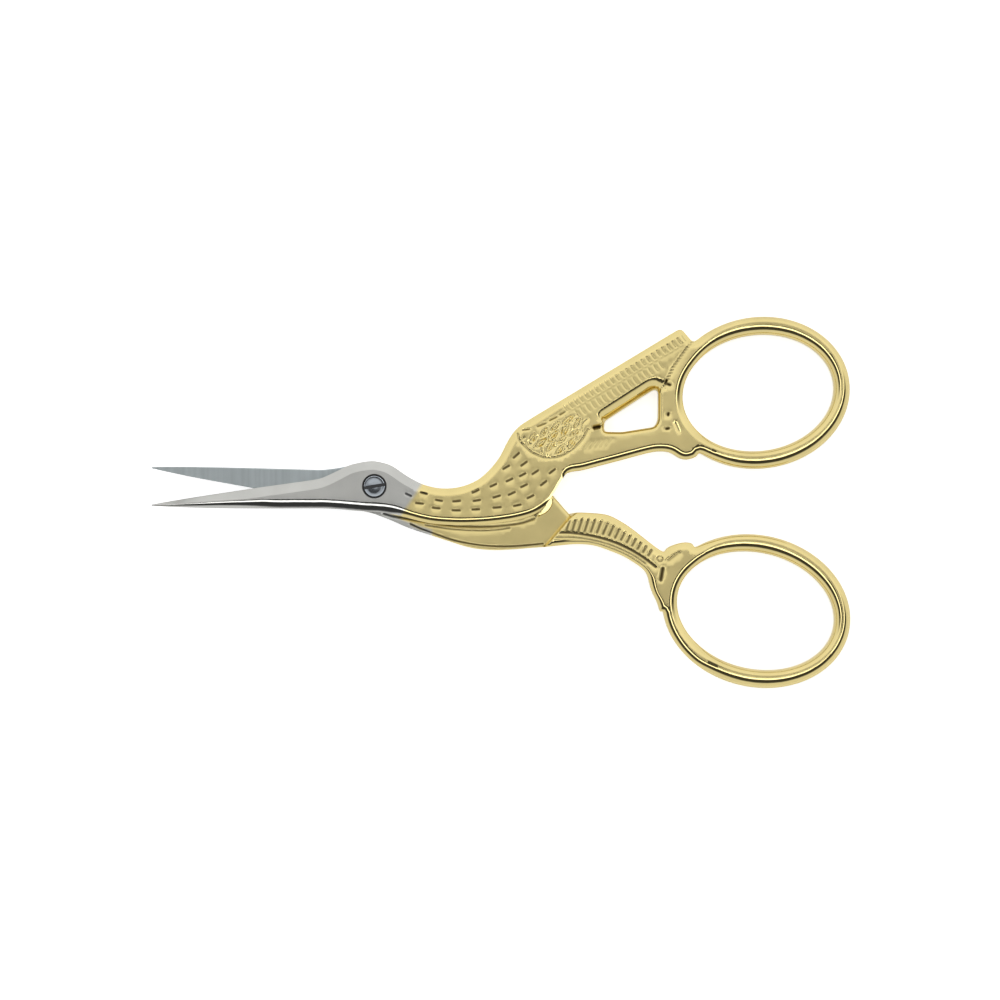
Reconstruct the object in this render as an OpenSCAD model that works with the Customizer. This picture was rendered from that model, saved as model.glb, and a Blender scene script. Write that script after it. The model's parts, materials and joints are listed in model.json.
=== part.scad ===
// Stork embroidery scissors, 3 1/2 inch size, lying flat and slightly open.
// The origin is on the pivot axis at the level of the table, +X runs to the finger rings,
// +Z runs up through the screw head. Each half is drawn closed, along the X axis,
// with its lap face on z = 0 and its outer face up, and then turned into its place.
// The front half is the bird's body, wing and one leg, and the rear half the other leg.

/* [Opening] */
// Angle between the two blades in the resting pose
open_angle = 9.6; // [2:0.2:30]
// Air between the two lapping faces
blade_play = 0.05; // [0.03:0.01:0.1]
// Air between the two finger rings when the scissors are closed
ring_gap = 0.1; // [0.06:0.02:0.4]
// Air between the beak and the step that it closes against
beak_gap = 0.25; // [0.15:0.05:0.6]

/* [Blades] */
// Length of each blade from the screw to the tip
blade_len = 28.9; // [24:0.1:36]
// Width of each blade, 10 mm ahead of the screw
blade_w = 3.4; // [2.8:0.1:4.2]
// Share of the blade's width that lies above the closing line
blade_share = 0.4; // [0.3:0.05:0.6]
// Thickness of each half at the screw and in the handles' outer layer
half_t = 1.6; // [1.3:0.05:2.2]
// Thickness of each blade at its tip
tip_t = 0.75; // [0.4:0.05:1.1]
// Thickness left along the cutting edge
edge_t = 0.25; // [0.15:0.05:0.5]
// Width of the ground bevel along the cutting edge
bevel_w = 1.25; // [0.6:0.05:1.6]

/* [Head and neck] */
// Height of the head above the screw, on the crown of the front half
crown_h = 3.3; // [2.8:0.1:4]
// Depth of the head below the screw
throat_h = 3.3; // [2.8:0.1:4]
// Width of the neck at its thinnest place
neck_w = 4.8; // [4:0.1:6]
// How far the middle of the neck dips below the closing line
neck_drop = 3.5; // [3:0.1:4.2]
// Width of the rounded rim on the outer edges
rim_w = 1.05; // [0.6:0.05:1.2]
// Height of the rounded rim on the outer edges
rim_h = 1.1; // [0.7:0.05:1.2]

/* [Wing and legs] */
// Width of the wing, square to its top edge
wing_w = 5.35; // [4:0.05:6.5]
// Height of the wing's end above the closing line of the rings
wing_end_h = 19; // [17:0.1:21]
// Width of the front leg below the window
leg_w = 4; // [3.2:0.1:4.6]
// Width of the ribbed rear leg
rear_leg_w = 4.1; // [3.4:0.1:5]
// Width of the bar between the window and the finger ring
web_w = 1.7; // [1.2:0.1:3]

/* [Finger rings] */
// Distance from the screw to the middle of the finger rings
ring_x = 50.4; // [47:0.1:58]
// How far the rings' closing line lies below the blades' one
handle_drop = 2; // [1:0.1:3]
// Outer length of the front ring
front_ring_l = 23.5; // [21:0.1:25]
// Outer length of the rear ring
rear_ring_l = 24.5; // [22:0.1:26]
// Outer width of both rings
ring_w = 19.6; // [18:0.1:22]
// Width of the ring's wire along the sides
wire_w = 2.35; // [1.8:0.05:3]
// Width of the ring's wire at the far end
wire_end_w = 2.1; // [1.6:0.1:3]
// Width of the ring's wire where it leaves the leg
wire_leg_w = 1.8; // [1.4:0.1:3]
// Turn of the front ring in the closed half
front_ring_turn = 3; // [0:1:8]
// Turn of the rear ring in the closed half
rear_ring_turn = -9; // [-12:1:-4]

/* [Screw] */
// Diameter of the screw head
head_d = 2.7; // [2.2:0.1:3.4]
// Height of the screw head
head_h = 0.7; // [0.5:0.05:0.9]
// Diameter of the smooth shank that the front half turns on
shank_d = 1.8; // [1.4:0.1:2]
// Diameter of the threaded end in the rear half
thread_d = 1.6; // [1.2:0.1:1.7]
// Width of the driver slot
slot_w = 0.42; // [0.3:0.02:0.6]
// Depth of the driver slot
slot_depth = 0.35; // [0.2:0.05:0.45]
// Turn of the driver slot in the resting pose
slot_turn = 10; // [0:5:90]
// Radial clearance of the shank in its bore
shank_clear = 0.03; // [0.02:0.01:0.08]
// Radial clearance round the screw head
head_clear = 0.22; // [0.1:0.02:0.4]
// Radial clearance of the threaded end
thread_clear = 0.02; // [0.02:0.01:0.05]
// Air under the screw head and how far its two ends lie below the faces
screw_recess = 0.08; // [0.04:0.02:0.2]

/* [Hidden] */

gold = [0.84, 0.71, 0.40];
steel = [0.74, 0.73, 0.71];
bright = [0.60, 0.61, 0.63];
$fn = 48;
ring_steps = 64;
arc_steps = 3;
blade_steps = 14;
cut_room = 1;
cut_far = 40;

lap_z = blade_play / 2;
outer_z = lap_z + half_t;
total_t = 2 * outer_z;

// The blade's width is given this far from its tip, and narrows by this power from there
blade_span = blade_len - 10;
narrowing = 0.75;
// Its stations crowd towards the head by this power
crowding = 1.15;
// The blade flares into the head from here on, and its bevel ends between these two places
flare_x = -7.3;
grind_x = -9;
head_x = -2;

// A point between two others
function mix(a, b, t) = a + (b - a) * t;
// An S-shaped rise from 0 to 1 between two places
function rise(a, b, x) = let (t = min(1, max(0, (x - a) / (b - a)))) t * t * (3 - 2 * t);
// A list without its first entry
function rest(list) = [for (i = [1:len(list) - 1]) list[i]];
// A smooth curve through four points
function knot(a, b, c, d, t) =
    0.5 * (2 * b + (c - a) * t + (2 * a - 5 * b + 4 * c - d) * t * t
        + (3 * b - a - 3 * c + d) * t * t * t);
// A list of stations with two more put smoothly between each pair
function smooth(list, n = 3) = let (last = len(list) - 1) concat(
    [for (i = [0:last - 1]) for (k = [0:n - 1])
        knot(list[max(0, i - 1)], list[i], list[i + 1], list[min(last, i + 2)], k / n)],
    [list[last]]);

// The skin of a bar through sections with equal numbers of points
module skin(sections, closed = false) {
    n = len(sections[0]);
    m = len(sections);
    points = [for (s = sections) each s];
    sides = [for (i = [0:(closed ? m - 1 : m - 2)]) for (j = [0:n - 1])
        let (a = i * n, b = ((i + 1) % m) * n, k = (j + 1) % n)
        each [[a + j, b + k, a + k], [a + j, b + j, b + k]]];
    caps = closed ? [] : concat(
        [for (j = [1:n - 2]) [0, j, j + 1]],
        [for (j = [1:n - 2]) let (a = (m - 1) * n) [a, a + j + 1, a + j]]);
    polyhedron(points, concat(sides, caps), convexity = 6);
}

// One section with a rounded rim on both faces; a station is [x, y, x, y] on its two edges
function rim_section(s) =
    let (p = [s[0], s[1]], q = [s[2], s[3]], w = norm(q - p), u = (q - p) / w,
        r = min(rim_w, 0.47 * w), low = outer_z - rim_h,
        arc = [for (k = [0:arc_steps]) let (a = 90 * k / arc_steps)
            [r * (1 - cos(a)), low + rim_h * sin(a)]],
        top = concat(arc, [for (k = [arc_steps:-1:0]) [w - arc[k][0], arc[k][1]]]),
        loop = concat(top, [for (k = [len(top) - 1:-1:0]) [top[k][0], -top[k][1]]]))
    [for (c = loop) [p[0] + u[0] * c[0], p[1] + u[1] * c[0], c[1]]];

module bar(stations) skin([for (s = stations) rim_section(s)]);

// One section of a blade or head: flat on the lap face, rounded on the outer one.
// A station is [x, y, x, y, thickness, rim width and height of the first edge, and of the second]
function blade_section(s) =
    let (p = [s[0], s[1]], q = [s[2], s[3]], w = norm(q - p), u = (q - p) / w,
        top = lap_z + s[4],
        arc = function(rw, rh) [for (k = [0:arc_steps]) let (a = 90 * k / arc_steps)
            [rw * (1 - cos(a)), top - rh * (1 - sin(a))]],
        first = arc(s[5], s[6]), second = arc(s[7], s[8]),
        loop = concat(first, [for (k = [arc_steps:-1:0]) [w - second[k][0], second[k][1]]],
            [[w, lap_z], [0, lap_z]]))
    [for (c = loop) [p[0] + u[0] * c[0], p[1] + u[1] * c[0], c[1]]];

// A blade's edges follow one curve that narrows to the tip and flares out into the head.
// With edge_up the upper edge cuts, otherwise the lower one
function blade_station(x, above, below, edge_up) =
    let (from_tip = max(0.4, blade_len + x), w = blade_w * pow(from_tip / blade_span, narrowing),
        full_w = blade_w * pow(blade_len / blade_span, narrowing),
        up = blade_share * w
            + (above - blade_share * full_w) * rise(flare_x, edge_up ? head_x : head_x / 4, x),
        down = (1 - blade_share) * w + (below - (1 - blade_share) * full_w) * rise(flare_x, 0, x),
        t = mix(tip_t, half_t, min(1, (blade_len + x) / (blade_len + head_x))),
        all = up + down,
        grind = 1 - rise(grind_x, head_x, x),
        cut_w = min(mix(rim_w, bevel_w, grind), 0.5 * all),
        cut_h = mix(rim_h, t - edge_t, grind),
        back_w = min(rim_w, 0.46 * all),
        back_h = min(rim_h, 0.7 * t))
    edge_up
        ? [x, up, x, -down, t, cut_w, cut_h, back_w, back_h]
        : [x, up, x, -down, t, back_w, back_h, cut_w, cut_h];

function blade_stations(above, below, edge_up) =
    [for (i = [0:blade_steps]) let (x = -blade_len * pow(1 - i / blade_steps, crowding))
        blade_station(x, above, below, edge_up)];

// The outer layer's stations are given a full rim
function rimmed(list) = [for (s = list) [s[0], s[1], s[2], s[3], half_t, rim_w, rim_h, rim_w, rim_h]];

// A finger ring: the wire is an ellipse with a smaller one, shifted to the leg, left open in it
module ring(l, turn) {
    shift = (wire_leg_w - wire_end_w) / 2;
    hole_l = l - wire_leg_w - wire_end_w;
    hole_w = ring_w - 2 * wire_w;
    rotate(turn) skin([for (i = [0:ring_steps - 1]) let (a = -360 * i / ring_steps)
        rim_section([l / 2 * cos(a), ring_w / 2 * sin(a),
            shift + hole_l / 2 * cos(a), hole_w / 2 * sin(a)])], closed = true);
}
// Half the height of a turned ring
function ring_rise(l, turn) = norm([l / 2 * sin(turn), ring_w / 2 * cos(turn)]);
function front_ring_at() = [ring_x, -handle_drop + ring_gap / 2 + ring_rise(front_ring_l, front_ring_turn)];
function rear_ring_at() = [ring_x, -handle_drop - ring_gap / 2 - ring_rise(rear_ring_l, rear_ring_turn)];
// A place in the wire of a ring, at an angle round it
function on_wire(at, l, turn, a, inset = 0) =
    let (x = (l / 2 - inset) * cos(a), y = (ring_w / 2 - inset) * sin(a))
    [at[0] + x * cos(turn) - y * sin(turn), at[1] + x * sin(turn) + y * cos(turn)];
function front_wire(a, inset = 0) = on_wire(front_ring_at(), front_ring_l, front_ring_turn, a, inset);
function rear_wire(a, inset = 0) = on_wire(rear_ring_at(), rear_ring_l, rear_ring_turn, a, inset);

// Front half: neck and breast, by the neck's named sizes
neck_top = -neck_drop + neck_w / 2;
neck_low = -neck_drop - neck_w / 2;
front_neck = [
    [0, crown_h, 0, -throat_h],
    [2.2, crown_h - 0.7, 1, -throat_h - 0.2],
    [4.2, 1, 2, -throat_h - 0.45],
    [6.1, neck_top + 0.85, 3.1, neck_low + 1.8]];
front_breast = [
    [6.1, neck_top + 0.85, 3.1, neck_low + 1.8],
    [8, neck_top + 0.2, 6.5, neck_low + 0.6],
    [10, neck_top, 9.8, neck_low + 0.05],
    [12, neck_top + 0.3, 12.6, neck_low - 0.15],
    [14, neck_top + 1.2, 15.6, neck_low - 0.15],
    [16.2, neck_top + 3.25, 18.8, neck_low + 0.15],
    [17.5, neck_top + 5.35, 21, neck_low + 0.95],
    [18.9, neck_top + 7, 22.9, neck_low + 3],
    [20.6, neck_top + 8, 24.2, neck_low + 4.85]];

// The wing's top edge runs straight from the shoulder to its end above the ring
shoulder = [20.6, neck_top + 8];
wing_end = [ring_x - 9.4, wing_end_h - handle_drop];
wing_dir = (wing_end - shoulder) / norm(wing_end - shoulder);
wing_down = [wing_dir[1], -wing_dir[0]];
function on_wing(d, w) = shoulder + d * wing_dir + w * wing_down;
function pair(p, q) = [p[0], p[1], q[0], q[1]];
leg_low = -handle_drop + 3.4;
heel_x = ring_x - front_ring_l / 2;
function leg_line(x) = mix(-0.35, leg_low, (x - 26) / (heel_x - 2.4 - 26));
window_x = 30.2;
window_far = front_wire(178, -web_w);
window_low = front_wire(195, -web_w);

// Front half: the shoulder between breast, wing and leg
front_shoulder = [
    pair(shoulder, [24.2, neck_low + 4.85]),
    pair(on_wing(2.5, 0), [25.1, -0.3]),
    pair(on_wing(4.5, 0), [26.6, leg_line(26.6)]),
    pair(on_wing(9.4, 0), [29.2, leg_line(29.2)])];
front_wing = [
    pair(on_wing(6, 0), on_wing(8, wing_w)),
    pair(on_wing(8.5, 0), on_wing(10.5, wing_w)),
    pair(on_wing(15, 0), on_wing(16.2, wing_w)),
    pair(on_wing(17.5, 0), front_wire(163, 0.8)),
    pair(on_wing(19.5, 0), front_wire(152, 0.8)),
    pair(on_wing(21.3, 0), front_wire(142, 0.8)),
    pair(wing_end, front_wire(131, 0.9))];
front_leg = [
    [window_x - 2.2, leg_line(28) + leg_w, 28, leg_line(28)],
    [window_x + 1.5, leg_line(31.7) + leg_w - 0.1, 31.7, leg_line(31.7)],
    [window_low[0] - 1.2, leg_low + leg_w - 0.55, heel_x - 3.2, leg_low - 0.1],
    pair(window_low, [heel_x - 1.6, leg_low]),
    [heel_x + 0.9, leg_low + 4.6, heel_x - 0.2, leg_low - 0.3],
    [heel_x + 1.3, leg_low + 3.4, heel_x + 0.6, leg_low - 1],
    [heel_x + 2.2, leg_low + 2.4, heel_x + 1.7, leg_low - 1.4],
    [heel_x + 3.4, leg_low + 1.2, heel_x + 3.2, leg_low - 1.05]];
front_web = [
    pair(front_wire(200, -web_w), front_wire(200, 0.8)),
    pair(window_low, front_wire(195, 0.8)),
    pair(front_wire(186, -web_w), front_wire(186, 0.8)),
    pair(window_far, front_wire(178, 0.8)),
    pair(front_wire(168, -web_w - 0.3), front_wire(168, 0.8)),
    pair(front_wire(158, -web_w - 0.3), front_wire(158, 0.8))];

// Rear half: neck, beak and ribbed leg
beak_tip = [23, 0.75];
beak_foot = [25.3, -1.5];
rear_low = -throat_h - 0.2;
rear_neck = [
    [0, crown_h - 0.3, 0, rear_low],
    [2.9, crown_h - 1.5, 2.4, rear_low - 0.7],
    [5.4, 0.35, 4.9, rear_low - 1.55],
    [7.4, -0.85, 7.9, rear_low - 2.25]];
rear_breast = [
    [7.4, -0.85, 7.9, rear_low - 2.25],
    [9.6, -1.3, 10.2, rear_low - 2.8],
    [12.6, -1.1, 13, rear_low - 3.4],
    [15.6, -0.4, 15.8, rear_low - 3.45],
    [18.6, 0.35, 18.4, rear_low - 3.15],
    [21.2, 0.95, 20.8, rear_low - 2.75],
    pair(beak_tip, [22.4, rear_low - 2.5])];
rear_beak = pair(mix(beak_tip, beak_foot, 0.5), [23.4, rear_low - 2.3]);
rear_heel_x = ring_x - rear_ring_l / 2;
shank_top = -1.1;
rear_leg = [
    pair(beak_foot, [24.5, rear_low - 2.1]),
    [26.1, shank_top - 0.1, 26.2, shank_top - rear_leg_w - 0.1],
    [28.2, shank_top, 28.4, shank_top - rear_leg_w],
    [30.2, shank_top - 0.05, 30, shank_top - rear_leg_w - 0.3],
    [31.9, shank_top - 0.7, 31.2, shank_top - rear_leg_w - 0.65],
    [rear_heel_x - 4.6, -handle_drop - 0.7, rear_heel_x - 5.5, -handle_drop - 4.3],
    [rear_heel_x - 2.4, -handle_drop - 2.15, rear_heel_x - 3.5, -handle_drop - 5.3],
    [rear_heel_x - 0.7, -handle_drop - 3.2, rear_heel_x - 2.3, -handle_drop - 6.2],
    [rear_heel_x + 0.7, -handle_drop - 3.8, rear_heel_x - 1.8, -handle_drop - 7.6],
    [rear_heel_x + 1.6, -handle_drop - 4.4, rear_heel_x - 1.3, -handle_drop - 8.8],
    [rear_heel_x + 1.9, -handle_drop - 5.8, rear_heel_x - 0.6, -handle_drop - 9.9],
    [rear_heel_x + 1.6, -handle_drop - 7.5, rear_heel_x - 0.1, -handle_drop - 11.3]];
rear_knob = [
    [rear_heel_x - 0.2, -handle_drop - 2.9, rear_heel_x + 0.4, -handle_drop - 5.7],
    [rear_heel_x + 0.9, -handle_drop - 2.3, rear_heel_x + 1.5, -handle_drop - 5.4],
    [rear_heel_x + 2.2, -handle_drop - 1.85, rear_heel_x + 2.6, -handle_drop - 4.6],
    [rear_heel_x + 3.4, -handle_drop - 1.85, rear_heel_x + 3.6, -handle_drop - 3.6]];

// Where each half is only its outer layer: left of its step, clear of the other half
step_dir = (beak_foot - beak_tip) / norm(beak_foot - beak_tip);
step_shift = beak_gap * [-step_dir[1], step_dir[0]];
front_lap = [
    beak_foot + step_shift + 9 * step_dir, beak_tip + step_shift - 14 * step_dir,
    [-cut_room, cut_far], [-cut_room, -cut_far], [cut_far, -cut_far]];
rear_step_top = beak_foot + [0.12, 0];
rear_step_foot = [22.6, rear_low - 2];
rear_step_run = 2 * (rear_step_top - rear_step_foot);
rear_lap = [
    rear_step_top + rear_step_run, rear_step_foot - rear_step_run,
    [-cut_room, -cut_far / 2], [-cut_room, cut_far / 2]];

module lap_cut(outline)
    translate([0, 0, -outer_z - cut_room])
        linear_extrude(outer_z + cut_room + lap_z) polygon(outline);

// Turns a half out of the closed frame and puts its lap face on the middle plane
module place_front() translate([0, 0, outer_z]) rotate(open_angle / 2) children();
module place_rear() translate([0, 0, outer_z]) mirror([0, 0, 1]) rotate(-open_angle / 2) children();

module front_blade() color(steel) place_front() difference() {
    skin([for (s = concat(blade_stations(crown_h, throat_h, true),
            rimmed(rest(smooth(front_neck))))) blade_section(s)]);
    translate([0, 0, -cut_room]) cylinder(d = shank_d + 2 * shank_clear, h = total_t);
    translate([0, 0, outer_z - 2 * screw_recess - head_h])
        cylinder(d = head_d + 2 * head_clear, h = head_h + cut_room);
}

module front_handle() color(gold) place_front() resize([0, 0, 0]) difference() {
    union() {
        bar(smooth(concat(front_breast, rest(front_shoulder))));
        bar(front_wing);
        bar(smooth(front_leg));
        bar(smooth(front_web));
        translate(front_ring_at()) ring(front_ring_l, front_ring_turn);
    }
    lap_cut(front_lap);
}

module rear_blade() color(steel) place_rear() difference() {
    skin([for (s = concat(blade_stations(crown_h - 0.3, -rear_low, false),
            rimmed(rest(smooth(rear_neck))))) blade_section(s)]);
    translate([0, 0, -cut_room]) cylinder(d = thread_d + 2 * thread_clear, h = total_t);
}

module rear_handle() color(gold) place_rear() resize([0, 0, 0]) difference() {
    union() {
        bar(concat(smooth(rear_breast), [rear_beak], smooth(rear_leg)));
        bar(smooth(rear_knob));
        translate(rear_ring_at()) ring(rear_ring_l, rear_ring_turn);
    }
    lap_cut(rear_lap);
}

// The screw: a slotted head in the front half's counterbore, a shank and a threaded end
module pivot_screw() color(bright) {
    thread_l = half_t - screw_recess;
    shank_l = total_t - half_t - screw_recess - head_h;
    difference() {
        union() {
            translate([0, 0, screw_recess]) cylinder(d = thread_d, h = thread_l);
            translate([0, 0, half_t]) cylinder(d = shank_d, h = shank_l);
            translate([0, 0, half_t + shank_l]) cylinder(d = head_d, h = head_h);
        }
        rotate(slot_turn) translate([-head_d, -slot_w / 2, half_t + shank_l + head_h - slot_depth])
            cube([2 * head_d, slot_w, slot_depth + cut_room]);
    }
}

front_blade();
front_handle();
rear_blade();
rear_handle();
pivot_screw();
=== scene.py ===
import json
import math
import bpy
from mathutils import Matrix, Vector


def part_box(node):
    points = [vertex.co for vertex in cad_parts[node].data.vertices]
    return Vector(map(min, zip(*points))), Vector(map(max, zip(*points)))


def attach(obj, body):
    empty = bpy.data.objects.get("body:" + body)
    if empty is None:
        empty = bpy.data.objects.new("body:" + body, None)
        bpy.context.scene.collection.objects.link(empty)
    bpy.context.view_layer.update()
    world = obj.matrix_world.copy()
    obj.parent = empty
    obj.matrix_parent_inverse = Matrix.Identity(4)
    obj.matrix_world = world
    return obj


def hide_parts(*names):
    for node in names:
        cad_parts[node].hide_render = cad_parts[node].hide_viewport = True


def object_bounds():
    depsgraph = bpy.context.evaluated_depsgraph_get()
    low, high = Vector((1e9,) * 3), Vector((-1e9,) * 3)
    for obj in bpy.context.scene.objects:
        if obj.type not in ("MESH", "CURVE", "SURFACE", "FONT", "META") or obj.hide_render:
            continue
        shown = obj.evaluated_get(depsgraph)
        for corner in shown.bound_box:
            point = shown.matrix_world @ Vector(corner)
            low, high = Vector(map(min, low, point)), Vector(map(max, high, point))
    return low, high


bl_info = {
    "name": "Stork Embroidery Scissors",
    "version": (1, 0, 0),
    "blender": (4, 5, 0),
    "location": "View3D > Sidebar > Scissors",
    "description": "Carved steel and gilt forgings, a slotted screw and a pale stage for the scissors",
    "category": "Add Mesh",
}

from types import SimpleNamespace

import bmesh
import bpy
import numpy as np
from mathutils import Vector
from mathutils.geometry import delaunay_2d_cdt
from mathutils.kdtree import KDTree

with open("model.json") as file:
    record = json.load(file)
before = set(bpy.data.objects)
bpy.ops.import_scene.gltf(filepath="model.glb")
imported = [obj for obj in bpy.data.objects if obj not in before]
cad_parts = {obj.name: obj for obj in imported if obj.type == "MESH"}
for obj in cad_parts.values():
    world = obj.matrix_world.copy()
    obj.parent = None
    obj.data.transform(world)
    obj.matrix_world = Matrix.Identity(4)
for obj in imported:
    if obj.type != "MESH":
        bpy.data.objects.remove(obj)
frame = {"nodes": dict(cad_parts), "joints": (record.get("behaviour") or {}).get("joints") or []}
CAD_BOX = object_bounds()

MM = 0.001

# The halves lap face to face on this plane, and each reaches this far out from it (millimetres)
MID_Z = 1000 * (CAD_BOX[0].z + CAD_BOX[1].z) / 2
OUTER = MID_Z
# How far the scissors stand open at rest, in degrees
OPEN_ANGLE = -frame["joints"][0]["range_deg"][0]

# The photograph's frame in pixels, the size of one of them at the scissors, and the screw's axis in it
PHOTO_SIZE = 1000
PIXEL = 90 * MM / 700
SCREW_PIXEL = (374.3, 486.2)

# Places of the carving, in millimetres from the screw's axis. Marks are (x, y, turn in degrees, size)
FEATHER_DASHES = [
    (4.4, -1.1, -25, 0.9), (6.35, -0.95, -15, 1), (5.8, -2.25, -6, 1.15), (8.3, -1.87, -10, 1),
    (7.95, -2.85, -6, 1.15), (10.6, -1.97, 5, 1.1), (10.53, -3.15, -1, 1.2), (13.05, -0.7, 25, 1.05),
    (13.2, -1.88, 9, 1.05), (13.05, -3.03, 2, 1.1), (15.33, 0.08, 25, 1), (15.75, -1.38, 17, 1.1),
    (15.8, -2.78, 5, 1.2), (17.4, 0.75, 25, 1), (17.7, -0.97, 25, 1.1), (18.4, -2.5, 12, 1.1),
    (17.0, 2.4, 30, 1.1), (18.3, 3.93, 42, 1.15), (19.28, 2.85, 36, 1.1), (19.1, 1.43, 28, 1),
    (19.28, 0.02, 26, 1.05), (20.1, -1.4, 26, 1.05), (20.72, 1.75, 33, 1.1), (21.8, 0.35, 38, 1.1),
    (22.93, 1.9, 38, 1.1)]
BACK_DASHES = [
    (8.2, -4.6, -16, 1), (10.6, -5.2, -10, 1.1), (13.1, -5.6, -4, 1.1), (15.6, -5.7, 2, 1.1),
    (18.1, -5.5, 6, 1), (9.6, -3.4, -12, 1), (12.0, -3.8, -8, 1.1), (14.5, -4.1, -2, 1.1),
    (17.0, -4.1, 4, 1), (11.0, -2.3, -8, 1), (13.6, -2.6, -2, 1), (16.2, -2.5, 6, 1)]
RACHIS = [(24.9, 9.5), (40.4, 18.6)]
WINDOW = [(29.55, 7.0), (31.9, 6.97), (36.1, 7.65), (36.5, 8.5), (36.55, 12.35), (36.0, 12.45), (29.6, 8.3)]
WING_END = [(41.1, 18.9), (39.7, 17.0), (38.5, 15.3), (37.7, 13.7), (37.3, 12.9)]
CARTOUCHE_RIM = [
    (18.4, 6.7), (18.6, 5.9), (19.3, 5.1), (20.4, 4.2), (22.1, 3.6), (23.9, 3.8), (25.5, 4.7),
    (26.8, 6.0), (27.5, 7.3)]
SHOULDER_CUTS = [(19.5, 7.25, 6, 0.8), (21.5, 7.85, 20, 1), (23.0, 8.65, 26, 0.9), (24.2, 9.35, 32, 0.7)]
HATCH = [(27.5, 5.2, 52, 1), (30.2, 5.6, 50, 1)]
RIBS = [(24.9, -5.2, 72, 0.95), (26.4, -5.0, 72, 1.05), (28.6, -5.15, 70, 1.05), (30.4, -5.75, 66, 0.85),
        (32.6, -6.75, 62, 0.62), (35.5, -8.6, 58, 0.5)]
PANEL_LINE = [
    (23.4, -5.98), (25.2, -6.0), (27.7, -6.35), (30.3, -7.02), (32.5, -7.95), (34.4, -9.05), (36.2, -10.4)]
PANEL_STEP = [
    (22.9, -6.6), (25.2, -6.6), (27.6, -6.85), (30.3, -7.55), (33.1, -8.8), (34.9, -10.0)]
CARTOUCHE_TOP = [(27.6, 8.6), (26.2, 9.6), (24.6, 8.9), (22.4, 7.7), (19.6, 6.9)]
PITS = [(37.5, 13.4, 70, 0.5), (37.8, 13.1, -20, 0.5), (37.8, 9.25, 80, 0.25), (37.7, 7.4, 10, 0.3)]
WINDOW_RECESS = [(28.2, 7.55), (29.0, 7.7)]
FRONT_SCOOP = [(38.7, 8.2), (39.2, 7.0)]
REAR_SCOOP = [(37.9, -9.6), (39.2, -8.6)]
LEG_EYE = [(36.75 + 0.36 * math.cos(a), -9.37 + 0.36 * math.sin(a)) for a in np.linspace(0, 5.9, 14)]
LEG_SLOT = [(37.1, -10.6), (36.85, -12.1)]

# The barbs on both sides of the wing's shaft: how far beside it, from and to where along it, and their size
BARB_ROWS = [(0.66, 0, 17.7, 1.1), (-0.85, 1.0, 13.4, 1.2)]
BARB_TURN = 127
ABOVE_WING = (30, 20)

# The corners of each half's outline that stay sharp beside its tip, with the scissors closed
FRONT_CORNERS = [(23, 0.75), (24.6, -0.7)]
REAR_CORNERS = [(23, 0.75), (25.3, -1.5)]

# Carved lines painted dark on the rear half's lap: two along the front half's breast as its painted shadow,
# and one along the lap's own lower edge as a painted reflection
NEAR_PAINTED_SHADOW = [
    (1.12, -3.51), (2.02, -3.78), (3.3, -4.04), (5.23, -4.37), (7.42, -4.71), (8.45, -4.89), (10.38, -5.12),
    (13.59, -5.22), (16.16, -5.12), (18.86, -4.77), (20.66, -4.15)]
FAR_PAINTED_SHADOW = [(6.52, -4.99), (8.45, -5.32), (10.38, -5.58), (13.59, -5.73), (15.78, -5.63), (17.45, -5.4)]
EDGE_PAINTED_REFLECTION = [
    (4.59, -4.86), (5.88, -5.44), (7.42, -6.02), (10.25, -6.98), (13.17, -7.56), (16.03, -7.78),
    (18.86, -7.69), (21.69, -7.42)]


class ForgingSettings(bpy.types.PropertyGroup):
    rim_width: bpy.props.FloatProperty(
        name="Rim width", description="Width of the rounded rim along the outer edges",
        default=1.05 * MM, unit="LENGTH", precision=5)
    rim_height: bpy.props.FloatProperty(
        name="Rim height", description="How far the rounded rim falls away from the flat face",
        default=0.46 * MM, unit="LENGTH", precision=5)
    ring_height: bpy.props.FloatProperty(
        name="Ring roundness", description="How far a finger ring falls away from its crest",
        default=1.1 * MM, unit="LENGTH", precision=5)
    bevel_width: bpy.props.FloatProperty(
        name="Cutting bevel", description="Width of the bevel that is ground along each cutting edge",
        default=1.25 * MM, unit="LENGTH", precision=5)
    edge_thickness: bpy.props.FloatProperty(
        name="Cutting edge", description="Thickness left along the cutting edge",
        default=0.25 * MM, unit="LENGTH", precision=5)
    crown_height: bpy.props.FloatProperty(
        name="Crown bevel", description="How far the flat bevel over the head falls away",
        default=0.72 * MM, unit="LENGTH", precision=5)
    step_width: bpy.props.FloatProperty(
        name="Stop step", description="Width of the slope between the lap and the full thickness",
        default=0.5 * MM, unit="LENGTH", precision=5)
    window_slope: bpy.props.FloatProperty(
        name="Window slope", description="Width of the slope between the wing and the window",
        default=1.65 * MM, unit="LENGTH", precision=5)


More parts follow.
